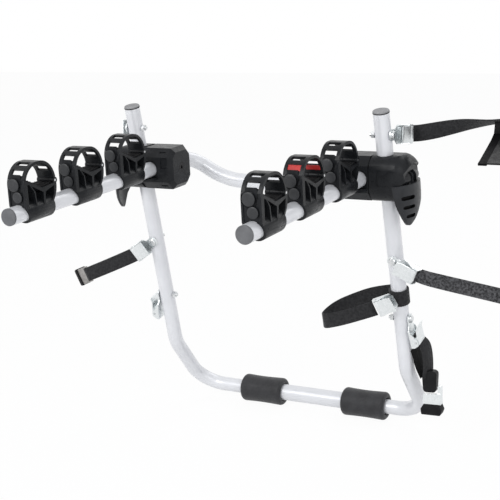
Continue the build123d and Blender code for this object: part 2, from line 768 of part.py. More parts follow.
for place, name in cradle_places:
    with BuildPart() as placed_body:
        with Locations(place):
            add(cradle_body.part)
    save(placed_body, f"cradle_body_{name}")
    with BuildPart() as placed_strap:
        with Locations(place):
            add(cradle_band.part)
    save(placed_strap, f"cradle_strap_{name}")

with BuildPart() as cradle_liners:
    with Locations(*[place for place, name in cradle_places]):
        add(cradle_liner.part)
save(cradle_liners, "cradle_liners")

with BuildPart() as hinge_pin:
    extrude(hinge_face(hinge_pin_dia), amount=half_width, both=True)

with BuildPart() as cradle_pins:
    with Locations(*[place for place, name in cradle_places]):
        add(hinge_pin.part)
save(cradle_pins, "cradle_pins")

with BuildPart() as cap_screw:
    with BuildSketch(front_plane.offset(-cradle_rim_height)):
        with Locations((screw_share[0] * half_width, screw_share[1] * cradle_rise)):
            Circle(screw_cap_dia / 2)
    extrude(amount=screw_cap_height)
    chamfer(cap_screw.faces().sort_by(Axis.Y)[0].edges(), length=cap_edge)
    with BuildSketch(front_plane.offset(-cradle_rim_height)):
        with Locations((screw_share[0] * half_width, screw_share[1] * cradle_rise)):
            Circle(strap_bolt_dia / 2 - tube_fit / 2)
    extrude(amount=cradle_rim_height - cradle_front_wall)

with BuildPart() as cradle_screws:
    with Locations(*[place for place, name in cradle_places]):
        add(cap_screw.part)
save(cradle_screws, "cradle_screws")

# Cam buckles. Each is drawn with its bolt's eye at the origin, X along the strap,
# Y across it and Z away from the tube.
buckle_bend_x = eye_dia * 3 / 5
buckle_pin_x = buckle_length - buckle_height * 3 / 4
buckle_pin_z = buckle_height - buckle_pin_dia
cam_dia = 2 * (buckle_pin_z - buckle_sheet - cap_edge * 2)
side_profile_share = ((0.0, 0.0), (1.0, 0.0), (1.0, 0.45), (0.86, 1.0), (0.55, 1.0), (0.2, 0.35), (0.0, 0.2))


def buckle_base(bend):
    """Plane of the buckle's floor, bent away from the eye's plane."""
    turn = radians(bend)
    return Plane(
        origin=(buckle_bend_x, 0, 0),
        x_dir=(cos(turn), 0, sin(turn)),
        z_dir=(-sin(turn), 0, cos(turn)),
    )


def buckle_side(bend, across):
    """Plane along one side of the buckle, looking across the strap."""
    base = buckle_base(bend)
    return Plane(origin=base.origin + Vector(0, across, 0), x_dir=base.x_dir, z_dir=(0, -1, 0))


def buckle_frame(bend, with_eye=True):
    """Folded sheet frame: an eye for the bolt, a floor and two upright sides."""
    floor_length = buckle_length - buckle_bend_x
    with BuildPart() as frame:
        if with_eye:
            with BuildSketch():
                Circle(eye_dia / 2)
                with Locations((buckle_bend_x / 2, 0)):
                    Rectangle(buckle_bend_x, eye_dia * 9 / 10)
                Circle(bolt_hole_dia / 2, mode=Mode.SUBTRACT)
            extrude(amount=buckle_sheet)
        with BuildSketch(buckle_base(bend)):
            with BuildLine():
                Polyline(
                    (0, -eye_dia * 9 / 20),
                    (buckle_height / 2, -buckle_width / 2),
                    (floor_length, -buckle_width / 2),
                    (floor_length, buckle_width / 2),
                    (buckle_height / 2, buckle_width / 2),
                    (0, eye_dia * 9 / 20),
                    close=True,
                )
            make_face()
        extrude(amount=buckle_sheet)
        for across in (buckle_width / 2, buckle_sheet - buckle_width / 2):
            with BuildSketch(buckle_side(bend, across)):
                with BuildLine():
                    side_length = floor_length - buckle_height / 2
                    Polyline(
                        *[
                            (buckle_height / 2 + x * side_length, z * buckle_height)
                            for x, z in side_profile_share
                        ],
                        close=True,
                    )
                make_face()
            extrude(amount=buckle_sheet)
        with BuildSketch(buckle_side(bend, buckle_width)):
            with Locations((buckle_pin_x - buckle_bend_x, buckle_pin_z)):
                Circle(buckle_pin_dia / 2 + tube_fit / 2)
        extrude(amount=2 * buckle_width, mode=Mode.SUBTRACT)
    return frame.part


def buckle_lever(bend):
    """Cam with a thumb plate that lies back over the buckle towards the bolt."""
    lever_width = buckle_width - 2 * buckle_sheet - 2 * running_gap
    pin_x = buckle_pin_x - buckle_bend_x
    plate_top = buckle_height + buckle_sheet
    with BuildPart() as lever:
        with BuildSketch(buckle_side(bend, lever_width / 2)):
            with Locations((pin_x, buckle_pin_z)):
                Circle(cam_dia / 2)
            with BuildLine():
                Polyline(
                    (pin_x + cam_dia / 3, plate_top - buckle_sheet),
                    (pin_x + cam_dia / 3, plate_top),
                    (buckle_height / 2, plate_top),
                    (-buckle_sheet, plate_top + 2 * buckle_sheet),
                    (-buckle_sheet, plate_top + buckle_sheet),
                    (buckle_height / 2, plate_top - buckle_sheet),
                    close=True,
                )
            make_face()
            with Locations((pin_x, (buckle_pin_z + plate_top) / 2)):
                Rectangle(cam_dia * 3 / 5, plate_top - buckle_pin_z)
        extrude(amount=lever_width)
        with BuildSketch(buckle_side(bend, buckle_width)):
            with Locations((pin_x, buckle_pin_z)):
                Circle(buckle_pin_dia / 2 + tube_fit / 2)
        extrude(amount=2 * buckle_width, mode=Mode.SUBTRACT)
    return lever.part


def buckle_pin(bend):
    """Pin of the cam, flush with the buckle's sides."""
    with BuildPart() as pin:
        with BuildSketch(buckle_side(bend, buckle_width / 2 + cap_edge)):
            with Locations((buckle_pin_x - buckle_bend_x, buckle_pin_z)):
                Circle(buckle_pin_dia / 2)
        extrude(amount=buckle_width + 2 * cap_edge)
    return pin.part


def strap_bolt():
    """Domed bolt through the eye and the tube, drawn in the buckle's frame."""
    with BuildPart() as bolt:
        with BuildSketch(Plane.XY.offset(buckle_sheet)):
            Circle(bolt_head_dia / 2)
        extrude(amount=bolt_head_height)
        chamfer(bolt.faces().sort_by(Axis.Z)[-1].edges(), length=bolt_head_height / 3)
        with BuildSketch(Plane.XY.offset(buckle_sheet)):
            Circle(strap_bolt_dia / 2)
        extrude(amount=-buckle_sheet - tube_dia - nut_height - 2 * overrun)
    return bolt.part


def strap_nut():
    """Nut on the far side of the tube, drawn in the buckle's frame."""
    with BuildPart() as nut:
        with BuildSketch(Plane.XY.offset(-tube_dia - 2 * running_gap)):
            RegularPolygon(nut_across / 2, 6, major_radius=False)
            Circle(strap_bolt_dia / 2, mode=Mode.SUBTRACT)
        extrude(amount=-nut_height)
    return nut.part


def buckle_seat(distance, side, outward, pull):
    """Plane of a buckle's eye on a post, from its outward normal and strap direction."""
    centre = on_post(distance, side * post_x)
    return Plane(origin=centre + outward * (tube_radius + running_gap), x_dir=pull, z_dir=outward)


def swing(side, angle):
    """Strap direction in the front plane of a post, sloping down by an angle."""
    return Vector(side * cos(radians(angle)), 0, 0) - post_up * sin(radians(angle))


def swing_back(angle):
    """Strap direction in the side plane of a post, towards the car and down by an angle."""
    return post_front * -cos(radians(angle)) - post_up * sin(radians(angle))


tie_wrap_down = 226.0
tie_wrap_radius = tube_radius + running_gap + 2 * webbing_thickness
tie_slope = 24.0
tie_foot = post_front * (tie_wrap_radius + running_gap) - swing(-1, tie_slope) * buckle_bend_x
tie_seat = Plane(
    origin=on_post(-tie_wrap_down) + tie_foot,
    x_dir=swing(-1, tie_slope),
    z_dir=post_front,
)
outboard = Vector(1, 0, 0)
top_slope = 17.0
top_bend = 14.0
mid_left_slope = 33.0
mid_right_slope = 27.0
low_bend = 8.0
mid_left_pull = swing(-1, mid_left_slope)
mid_right_pull = swing(1, mid_right_slope)
buckle_places = {
    "top_left": (buckle_seat(top_bolt_up, -1, outboard * -1, swing_back(top_slope)), top_bend),
    "top_right": (buckle_seat(top_bolt_up, 1, outboard, swing_back(top_slope)), top_bend),
    "mid_left": (buckle_seat(-mid_bolt_down, -1, post_front, mid_left_pull), 0.0),
    "mid_right": (buckle_seat(-mid_bolt_down, 1, post_front, mid_right_pull), 0.0),
    "low_left": (buckle_seat(-low_bolt_down, -1, outboard * -1, post_up * -1), low_bend),
    "low_right": (buckle_seat(-low_bolt_down, 1, outboard, post_up * -1), low_bend),
}

with BuildPart() as strap_bolts:
    for place, bend in buckle_places.values():
        add(place.location * strap_bolt())
save(strap_bolts, "strap_bolts")

with BuildPart() as strap_nuts:
    for place, bend in buckle_places.values():
        add(place.location * strap_nut())
save(strap_nuts, "strap_nuts")

buckle_places["tie"] = (tie_seat, 0.0)
for name, (place, bend) in buckle_places.items():
    with BuildPart() as placed_frame:
        add(place.location * buckle_frame(bend, name != "tie"))
    save(placed_frame, f"buckle_frame_{name}")
    with BuildPart() as placed_lever:
        add(place.location * buckle_lever(bend))
    save(placed_lever, f"buckle_lever_{name}")

with BuildPart() as buckle_pins:
    for place, bend in buckle_places.values():
        add(place.location * buckle_pin(bend))
save(buckle_pins, "buckle_pins")


# Webbing. A flat strap is drawn as a plain tube as wide as the webbing, in straight
# runs with tangent bends.
strap_routes = {
    "strap_top_right": [(287, 38.5, 69.3), (314, 46, 73), (344, 52, 79), (381, 52, 86), (414, 47, 91)],
    "strap_mid_left": [(-291.5, 14.3, -182.3), (-414, 29, -234)],
    "strap_mid_right": [(296.6, 13.7, -177), (452, 21, -198)],
    "strap_low_right": [(277.4, 62.3, -315.6), (285, 71, -343), (286, 78, -364)],
    "tie_strap": [
        (226, 66, -222),
        (190, 72, -230),
        (150, 75, -247),
        (113, 75, -265),
        (97, 58, -276),
        (97, 35, -280),
        (113, 19, -276),
        (156, 19, -263),
        (206.6, 23, -243),
    ],
}
bend_share = 0.45


def bend_radii(points):
    """Largest tangent bend at each corner, from the shorter run beside it."""
    radii = []
    for before, at, after in zip(points, points[1:], points[2:]):
        run_in = Vector(*at) - Vector(*before)
        run_out = Vector(*after) - Vector(*at)
        turn = radians(run_in.get_angle(run_out))
        radii.append(bend_share * min(run_in.length, run_out.length) / tan(turn / 2))
    return radii


for name, points in strap_routes.items():
    radii = bend_radii(points)
    print(name, "radii", [round(radius) for radius in radii])
    with BuildPart() as webbing:
        with BuildLine() as route:
            if radii:
                FilletPolyline(*points, radius=radii)
            else:
                Line(*points)
        with BuildSketch(Plane(origin=route.line @ 0, z_dir=route.line % 0)):
            Circle(webbing_width / 2)
        sweep()
    print(name, "length", round(sum(edge.length for edge in route.edges()), 1))
    save(webbing, name)

# Turns of the tie strap round the right post
with BuildPart() as tie_wrap:
    with BuildSketch(Plane(origin=on_post(-tie_wrap_down), z_dir=post_up)):
        Circle(tie_wrap_radius)
        Circle(tube_radius + running_gap, mode=Mode.SUBTRACT)
    extrude(amount=webbing_width / 2, both=True)
save(tie_wrap, "tie_wrap")

# Hooks. A strip hook is drawn at its strap's end, X along the strap, Z towards the front.
hook_reach = 14.0
hook_back = 28.0
hook_bend_radius = 6.0
lip_share = 0.8
strip_points = [
    Vector(0, 0, 0),
    Vector(hook_reach, 0, 0),
    Vector(hook_reach, 0, -hook_back),
    Vector(hook_reach * (1 - lip_share), 0, -hook_back - hook_bend_radius),
]


def strip_along(points, radius, width, thickness, across):
    """Sheet strip bent along a path, with its width set across it."""
    with BuildPart() as strip:
        with BuildLine() as route:
            FilletPolyline(*points, radius=radius)
        with BuildSketch(Plane(origin=route.line @ 0, x_dir=across, z_dir=route.line % 0)):
            Rectangle(width, thickness)
        sweep()
    return strip.part


def strap_end(name):
    """Plane at the far end of a strap, X onwards along it and Z towards the front."""
    points = strap_routes[name]
    onward = (Vector(*points[-1]) - Vector(*points[-2])).normalized()
    across = onward.cross(Vector(0, -1, 0)).normalized()
    return Plane(origin=Vector(*points[-1]) + onward * running_gap, x_dir=onward, z_dir=onward.cross(across) * -1)


across = Vector(0, 1, 0)
with BuildPart() as strip_hook:
    add(strip_along(strip_points, hook_bend_radius, hook_width, hook_sheet, across))
with BuildPart() as strip_sleeve:
    sleeve_points = [strip_points[1] - Vector(0, 0, hook_bend_radius + overrun)] + strip_points[2:]
    sleeve_thickness = hook_sheet + 2 * sleeve_wall
    add(strip_along(sleeve_points, hook_bend_radius, hook_width + overrun, sleeve_thickness, across))
    add(strip_hook.part, mode=Mode.SUBTRACT)

for name in ("mid_left", "mid_right"):
    with BuildPart() as placed_hook:
        add(strap_end(f"strap_{name}").location * strip_hook.part)
    save(placed_hook, f"hook_{name}")

# Upper right hook: a broad coated strip that turns down and out below the strap
top_end = Vector(*strap_routes["strap_top_right"][-1])
claw_sheet = 6.0
claw_width = 46.0
claw_bend_radius = 10.0
claw_gap = 2.9
claw_reach = 62.0
claw_drop = 57.0
claw_lip = 18.0
claw_lip_rise = 13.0
claw_x = top_end.X + claw_gap + claw_width / 2
claw_foot = top_end - Vector(0, claw_reach, claw_drop)
claw_points = [
    Vector(claw_x, top_end.Y, top_end.Z + webbing_width / 2),
    Vector(claw_x, top_end.Y, top_end.Z - webbing_width),
    Vector(claw_x, claw_foot.Y, claw_foot.Z),
    Vector(claw_x, claw_foot.Y - claw_lip, claw_foot.Z + claw_lip_rise),
]
with BuildPart() as hook_top_right:
    add(strip_along(claw_points, claw_bend_radius, claw_width, claw_sheet, (1, 0, 0)))
save(hook_top_right, "hook_top_right")

# Lower right hook: a bracket between a rubber cover and a rubber foot
low_end = Vector(*strap_routes["strap_low_right"][-1])
cover_width = 28.0
cover_depth = 22.0
cover_height = 36.0
bracket_width = 40.0
bracket_height = 27.0
bracket_depth = 26.0
foot_height = 20.0
cover_shift = 4.0
cover_gap = 4.8
with BuildPart() as low_cover:
    with BuildSketch(Plane(origin=low_end + Vector(cover_shift, cover_shift, -cover_gap), z_dir=(0, 0, -1))):
        Rectangle(cover_width, cover_depth)
    extrude(amount=cover_height)
    fillet(low_cover.edges().group_by(Axis.Z)[-1], radius=sleeve_wall)
cover_foot = low_end + Vector(cover_shift, cover_shift, -cover_gap - cover_height)
bracket_place = Plane(
    origin=cover_foot + Vector(bracket_width / 2 - cover_width / 2, 0, 0), x_dir=(1, 0, 0), z_dir=(0, 0, -1)
)
with BuildPart() as hook_low_right:
    with BuildSketch(bracket_place):
        Rectangle(bracket_width, bracket_depth)
    extrude(amount=bracket_height)
    with BuildSketch(bracket_place):
        Rectangle(bracket_width - 2 * hook_sheet, 2 * bracket_depth)
    extrude(amount=bracket_height - hook_sheet, mode=Mode.SUBTRACT)
    with BuildSketch(bracket_place):
        with Locations((0, bracket_depth / 2 - hook_sheet / 2), (0, hook_sheet / 2 - bracket_depth / 2)):
            Rectangle(bracket_width, hook_sheet)
    extrude(amount=bracket_height)
    with BuildSketch(bracket_place):
        with Locations((bracket_width / 2 - hook_sheet / 2, 0)):
            Rectangle(hook_sheet, bracket_depth)
    extrude(amount=-bracket_height / 3)
    with BuildSketch(bracket_place):
        Rectangle(bracket_width, bracket_depth)
    extrude(amount=hook_sheet)
save(hook_low_right, "hook_low_right")

with BuildPart() as low_foot:
    with BuildSketch(Plane(origin=bracket_place.origin - Vector(0, 0, bracket_height), z_dir=(0, 0, -1))):
        Rectangle(bracket_width + 2 * sleeve_wall, bracket_depth + overrun)
    extrude(amount=foot_height)
    fillet(low_foot.edges().filter_by(Axis.Z), radius=sleeve_wall)

with BuildPart() as hook_rubbers:
    for name in ("mid_left", "mid_right"):
        add(strap_end(f"strap_{name}").location * strip_sleeve.part)
    add(low_cover.part)
    add(low_foot.part)
save(hook_rubbers, "hook_rubbers")
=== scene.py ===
import json
import math

import bmesh
import bpy
from mathutils import Matrix, Vector


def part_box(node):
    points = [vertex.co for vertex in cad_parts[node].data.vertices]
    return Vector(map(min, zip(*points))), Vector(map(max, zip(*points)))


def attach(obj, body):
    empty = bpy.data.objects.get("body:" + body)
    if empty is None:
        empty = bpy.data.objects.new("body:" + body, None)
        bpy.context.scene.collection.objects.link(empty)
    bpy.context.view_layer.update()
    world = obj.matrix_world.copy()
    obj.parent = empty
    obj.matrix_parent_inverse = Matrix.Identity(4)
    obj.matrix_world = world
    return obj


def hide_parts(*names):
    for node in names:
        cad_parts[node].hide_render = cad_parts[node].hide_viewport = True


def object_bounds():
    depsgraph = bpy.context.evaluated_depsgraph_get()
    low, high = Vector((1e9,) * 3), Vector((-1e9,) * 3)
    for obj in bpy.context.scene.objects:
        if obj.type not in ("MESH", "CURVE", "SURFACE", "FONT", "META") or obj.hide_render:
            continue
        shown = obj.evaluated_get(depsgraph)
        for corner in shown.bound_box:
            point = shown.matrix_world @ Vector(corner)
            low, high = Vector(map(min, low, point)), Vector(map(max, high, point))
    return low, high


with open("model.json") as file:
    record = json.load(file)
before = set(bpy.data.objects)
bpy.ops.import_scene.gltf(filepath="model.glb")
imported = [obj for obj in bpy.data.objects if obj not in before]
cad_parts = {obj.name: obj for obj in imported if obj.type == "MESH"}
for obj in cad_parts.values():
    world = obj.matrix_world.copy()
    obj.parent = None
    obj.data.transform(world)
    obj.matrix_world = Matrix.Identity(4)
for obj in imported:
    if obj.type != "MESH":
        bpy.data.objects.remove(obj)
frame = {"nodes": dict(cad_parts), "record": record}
cad_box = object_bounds()
nodes = frame["nodes"]
scene = bpy.context.scene
scene.view_settings.view_transform = "Standard"


def placed(name, data):
    """New object for some data, linked to the scene."""
    obj = bpy.data.objects.new(name, data)
    scene.collection.objects.link(obj)
    return obj


# Camera, fitted to the photograph's tube axes and hubs. Image and focal length in
# pixels, sensor in millimetres, place in metres.
IMAGE = 500
FOCAL_PIXELS = 1196.939
SENSOR = 36.0
AZIMUTH = math.radians(28.572)
ELEVATION = math.radians(14.192)
ROLL = math.radians(-2.974)
CAMERA_PLACE = Vector((0.9850, -1.8564, 0.3864))

away = Vector(
    (
        math.sin(AZIMUTH) * math.cos(ELEVATION),
        -math.cos(AZIMUTH) * math.cos(ELEVATION),
        math.sin(ELEVATION),
    )
)
level_right = (-away).cross(Vector((0, 0, 1))).normalized()
level_up = level_right.cross(-away)
camera_right = math.cos(ROLL) * level_right + math.sin(ROLL) * level_up
camera_up = -math.sin(ROLL) * level_right + math.cos(ROLL) * level_up
camera_data = bpy.data.cameras.new("camera")
camera_data.sensor_fit = "HORIZONTAL"
camera_data.sensor_width = SENSOR
camera_data.lens = FOCAL_PIXELS * SENSOR / IMAGE
camera = placed("camera", camera_data)
turn = Matrix((camera_right, camera_up, away)).transposed()
camera.matrix_world = Matrix.Translation(CAMERA_PLACE) @ turn.to_4x4()
scene.camera = camera


# Materials. Texture scales count per metre, and bump depths are in metres.
class Shader:
    """A Principled material with short calls for its texture nodes."""

    def __init__(self, name):
        self.material = bpy.data.materials.new(name)
        self.material.use_nodes = True
        self.tree = self.material.node_tree
        self.main = self.tree.nodes["Principled BSDF"]
        self.coords = self.node("ShaderNodeTexCoord")

    def node(self, kind, **values):
        made = self.tree.nodes.new(kind)
        for key, value in values.items():
            setattr(made, key, value)
        return made

    def link(self, output, target):
        self.tree.links.new(output, target)

    def put(self, **values):
        for key, value in values.items():
            self.main.inputs[key.replace("_", " ")].default_value = value

    def stretched(self, stretch):
        """Texture space scaled by a factor on each axis."""
        mapping = self.node("ShaderNodeMapping")
        mapping.inputs["Scale"].default_value = stretch
        self.link(self.coords.outputs["Object"], mapping.inputs["Vector"])
        return mapping.outputs["Vector"]

    def noise(self, scale, detail=2.0, stretch=(1, 1, 1), distortion=0.0):
        made = self.node("ShaderNodeTexNoise")
        made.inputs["Scale"].default_value = scale
        made.inputs["Detail"].default_value = detail
        made.inputs["Distortion"].default_value = distortion
        self.link(self.stretched(stretch), made.inputs["Vector"])
        return made.outputs["Fac"]

    def ramp(self, fac, low, high, start=0.35, end=0.65):
        """A number that runs from low to high as fac runs from start to end."""
        made = self.node("ShaderNodeMapRange")
        made.inputs["From Min"].default_value = start
        made.inputs["From Max"].default_value = end
        made.inputs["To Min"].default_value = low
        made.inputs["To Max"].default_value = high
        self.link(fac, made.inputs["Value"])
        return made.outputs["Result"]

    def blend(self, fac, first, second):
        """A colour mixed between two by a number."""
        made = self.node("ShaderNodeMix", data_type="RGBA")
        self.link(fac, made.inputs["Factor"])
        for socket, value in (("A", first), ("B", second)):
            target = next(i for i in made.inputs if i.name == socket and i.type == "RGBA")
            if isinstance(value, tuple):
                target.default_value = (*value, 1)
            else:
                self.link(value, target)
        return next(output for output in made.outputs if output.type == "RGBA")

    def math(self, operation, first, second):
        made = self.node("ShaderNodeMath", operation=operation)
        for socket, value in zip(made.inputs, (first, second)):
            if isinstance(value, (int, float)):
                socket.default_value = value
            else:
                self.link(value, socket)
        return made.outputs[0]

    def bump(self, height, distance, strength=1.0, after=None):
        made = self.node("ShaderNodeBump")
        made.inputs["Distance"].default_value = distance
        made.inputs["Strength"].default_value = strength
        self.link(height, made.inputs["Height"])
        if after is not None:
            self.link(after, made.inputs["Normal"])
        return made.outputs["Normal"]

    def colour(self, output):
        self.link(output, self.main.inputs["Base Color"])

    def rough(self, output):
        self.link(output, self.main.inputs["Roughness"])

    def normal(self, output):
        self.link(output, self.main.inputs["Normal"])

    def mottle(self, dark, light, scale, detail, **noise):
        """Base colour that wanders between two colours."""
        fac = self.ramp(self.noise(scale, detail, **noise), 0.0, 1.0)
        self.colour(self.blend(fac, dark, light))

    def wear(self, low, high, scale, **noise):
        """Roughness that wanders between two values."""
        self.rough(self.ramp(self.noise(scale, 3.0, **noise), low, high))


def paint(name, dark, light, rough, metallic, coat):
    """Powder or sprayed paint with fine orange peel."""
    s = Shader(name)
    s.put(Metallic=metallic, Coat_Weight=coat, Coat_Roughness=0.12)
    s.mottle(dark, light, 26.0, 3.0)
    s.wear(rough - 0.04, rough + 0.06, 90.0)
    peel = s.bump(s.noise(900.0, 1.0), 0.00008, 0.35)
    s.normal(s.bump(s.noise(5200.0, 1.0), 0.00003, 0.25, peel))
    return s.material


def plastic(name, dark, light, rough, grain=2600.0, depth=0.00006, shine=0.42):
    """Moulded plastic with a fine texture and slightly rubbed places."""
    s = Shader(name)
    s.put(Specular_IOR_Level=shine)
    s.mottle(dark, light, 60.0, 4.0)
    s.wear(rough - 0.05, rough + 0.08, 140.0)
    s.normal(s.bump(s.noise(grain, 2.0), depth, 0.5))
    return s.material


def metal(name, dark, light, rough, scratch):
    """Plated steel: a mottled plate with fine drawn lines."""
    s = Shader(name)
    s.put(Metallic=1.0)
    s.mottle(dark, light, 220.0, 4.0, distortion=0.6)
    s.wear(rough - 0.07, rough + 0.12, 420.0, stretch=(1, 1, 0.2))
    lines = s.noise(1500.0, 2.0, stretch=(0.08, 1, 1))
    s.normal(s.bump(lines, 0.00004, scratch))
    return s.material


def foam(name, dark, light):
    """Closed-cell foam with a soft skin."""
    s = Shader(name)
    s.put(Specular_IOR_Level=0.35, Sheen_Weight=0.12, Sheen_Roughness=0.5)
    s.mottle(dark, light, 45.0, 4.0)
    s.wear(0.5, 0.66, 300.0)
    cells = s.node("ShaderNodeTexVoronoi")
    cells.inputs["Scale"].default_value = 1100.0
    s.link(s.coords.outputs["Object"], cells.inputs["Vector"])
    skin = s.bump(cells.outputs["Distance"], 0.00016, 0.45)
    s.normal(s.bump(s.noise(130.0, 3.0), 0.0006, 0.35, skin))
    return s.material


CHEVRON = 0.0035
RIB_RATE = 3100.0
CORD_RATE = 4200.0


def webbing(name, dark, light, speck):
    """Woven strap: V-shaped ribs across it, in the strap's own width and length."""
    s = Shader(name)
    s.put(Specular_IOR_Level=0.14, Sheen_Weight=0.16, Sheen_Roughness=0.4)
    uv = s.node("ShaderNodeSeparateXYZ")
    s.link(s.coords.outputs["UV"], uv.inputs["Vector"])
    across, along = uv.outputs["X"], uv.outputs["Y"]
    slant = s.math("ADD", along, s.math("PINGPONG", across, CHEVRON))
    ribs = s.math("SINE", s.math("MULTIPLY", slant, RIB_RATE), 0.0)
    cords = s.math("SINE", s.math("MULTIPLY", across, CORD_RATE), 0.0)
    weave = s.math("ADD", s.math("MULTIPLY", ribs, 0.5), s.math("MULTIPLY", cords, 0.3))
    specks = s.ramp(s.noise(240.0, 4.0), -speck, 0.5 + speck)
    tone = s.math("ADD", s.math("MULTIPLY", weave, 0.5), specks)
    s.colour(s.blend(s.ramp(tone, 0.0, 1.0, -0.3, 0.8), dark, light))
    s.wear(0.6, 0.8, 300.0)
    s.normal(s.bump(weave, 0.00025, 0.7))
    return s.material


# Looks: name, darkest and lightest colour, roughness, then what the kind adds
SILVER = paint("silver_paint", (0.715, 0.722, 0.750), (0.760, 0.766, 0.792), 0.34, 0.20, 0.3)
BLACK = plastic(
    "black_plastic", (0.0100, 0.0108, 0.0125), (0.0160, 0.0170, 0.0190), 0.31, shine=0.15
)
# Black plastic with a lighter base colour: painted sheen for the glossy discs and caps
DISC_SHEEN = plastic("disc_plastic_painted_sheen", (0.030, 0.031, 0.033), (0.042, 0.043, 0.046), 0.36, shine=0.25)
CAP_BLACK = plastic("cap_plastic", (0.008, 0.008, 0.009), (0.013, 0.013, 0.014), 0.33, shine=0.12)
GREY = plastic("grey_plastic", (0.100, 0.102, 0.108), (0.135, 0.137, 0.144), 0.5)
GREY_TOP = plastic("grey_top", (0.230, 0.230, 0.236), (0.280, 0.280, 0.288), 0.5)
RUBBER = plastic(
    "rubber", (0.006, 0.006, 0.007), (0.012, 0.012, 0.013), 0.5, 1500.0, 0.0001, 0.14
)
COATED = plastic(
    "coated_steel", (0.004, 0.004, 0.0045), (0.008, 0.008, 0.009), 0.32, 700.0, 0.0001, 0.18
)
ZINC = metal("zinc", (0.76, 0.79, 0.80), (0.84, 0.865, 0.875), 0.33, 0.3)
STEEL = metal("steel", (0.55, 0.57, 0.58), (0.78, 0.79, 0.80), 0.26, 0.3)
FOAM = foam("foam", (0.018, 0.018, 0.020), (0.030, 0.030, 0.033))
WEBBING = webbing("webbing", (0.011, 0.011, 0.012), (0.034, 0.034, 0.036), 0.10)
# Darker copy of the webbing: painted shade for a thickness lying behind another
WEBBING_SHADED = webbing("webbing_painted_shade", (0.003, 0.003, 0.0035), (0.009, 0.009, 0.010), 0.04)
# Near-black dipped plate; on the lever's finger slots the same look is painted shade
DIPPED_BLACK_AND_SLOT_SHADE = plastic(
    "dipped_plate_and_slot_shade", (0.0025, 0.0025, 0.003), (0.004, 0.004, 0.0045), 0.45, 700.0, 0.0001, 0.06
)
LEVER_BLACK = plastic(
    "lever_plastic", (0.019, 0.020, 0.0225), (0.028, 0.0295, 0.033), 0.34, shine=0.22
)
HOOK_GREY = metal("hook_grey", (0.30, 0.29, 0.28), (0.40, 0.39, 0.38), 0.42, 0.4)
WEBBING_GREY = webbing("webbing_grey", (0.012, 0.012, 0.013), (0.110, 0.110, 0.116), 0.30)
RED = plastic("red_plastic", (0.42, 0.020, 0.020), (0.55, 0.035, 0.030), 0.4)

slot_look = {
    "silver_paint": SILVER,
    "black_plastic": BLACK,
    "grey_cap": GREY,
    "rubber": RUBBER,
    "foam": FOAM,
    "zinc": ZINC,
    "steel": STEEL,
    "coated_steel": COATED,
    "webbing": WEBBING,
}
node_slot = {part["node"]: part["material_slot"] for part in frame["record"]["subparts"]}


def dress(obj, look):
    """One material over a whole object."""
    obj.data.materials.clear()
    obj.data.materials.append(look)


WELD_REACH = 0.00001
ROUND_SEGMENTS = 2


def soften(obj, width, angle=35.0):
    """Small rounds on the sharp edges of a moulded or pressed piece."""
    weld = obj.modifiers.new("weld", "WELD")
    weld.merge_threshold = WELD_REACH
    bevel = obj.modifiers.new("bevel", "BEVEL")
    bevel.width = width
    bevel.segments = ROUND_SEGMENTS
    bevel.limit_method = "ANGLE"
    bevel.angle_limit = math.radians(angle)
    bevel.harden_normals = True
    bevel.use_clamp_overlap = True


# Every CAD node gets its slot's look; those that later pieces replace are hidden.
for name, obj in nodes.items():
    dress(obj, slot_look[node_slot[name]])
dress(nodes["friction_discs"], CAP_BLACK)
dress(nodes["cradle_screws"], CAP_BLACK)
dress(nodes["post_caps"], GREY_TOP)

MOULDED, MOULDED_EDGE = ("arm_housing", "cradle_body", "cradle_screws"), 0.0006
PRESSED, PRESSED_EDGE = ("buckle_frame", "buckle_lever"), 0.00025
for name, obj in nodes.items():
    if name.startswith(MOULDED):
        soften(obj, MOULDED_EDGE)
    elif name.startswith(PRESSED):
        soften(obj, PRESSED_EDGE)


# Webbing. Each strap follows a smooth line drawn by the route's points, and its width
# turns from one direction to another along it. Lengths in metres.
WIDTH = 0.028
THICK = 0.0018
ROUNDING = 4
LINE_STEPS = 10


def smooth_line(name, points):
    """Points along the smooth curve that a route's points draw."""
    data = bpy.data.curves.new(name + "_line", "CURVE")
    data.dimensions = "3D"
    data.resolution_u = LINE_STEPS
    spline = data.splines.new("NURBS")
    spline.points.add(len(points) - 1)
    for point, place in zip(spline.points, points):
        point.co = (*place, 1)
    spline.order_u = 3
    spline.use_endpoint_u = True
    holder = placed(name + "_line", data)
    bpy.context.view_layer.update()
    mesh = bpy.data.meshes.new_from_object(holder)
    line = [vertex.co.copy() for vertex in mesh.vertices]
    bpy.data.objects.remove(holder)
    return line


def clamp(value):
    """The value kept between 0 and 1."""
    return min(max(value, 0.0), 1.0)


def strap_profile(width, thick):
    """Outline of a strap's section: flat with rounded edges."""
    profile = []
    for facing in (1, -1):
        for step in range(ROUNDING + 1):
            angle = math.pi * (0.5 - step / ROUNDING) * facing
            reach = width / 2 - thick / 2 + math.cos(angle) * thick / 2
            profile.append((facing * reach, math.sin(angle) * thick / 2))
    return profile


def side_at(share, sides, ease):
    """Direction of a strap's width at a share of its length."""
    for (low, first), (high, second) in zip(sides, sides[1:]):
        if share <= high or (high, second) == sides[-1]:
            part = clamp((share - low) / (high - low))
            part = part * part * (3 - 2 * part) if ease else part
            return Vector(first).lerp(Vector(second), part)


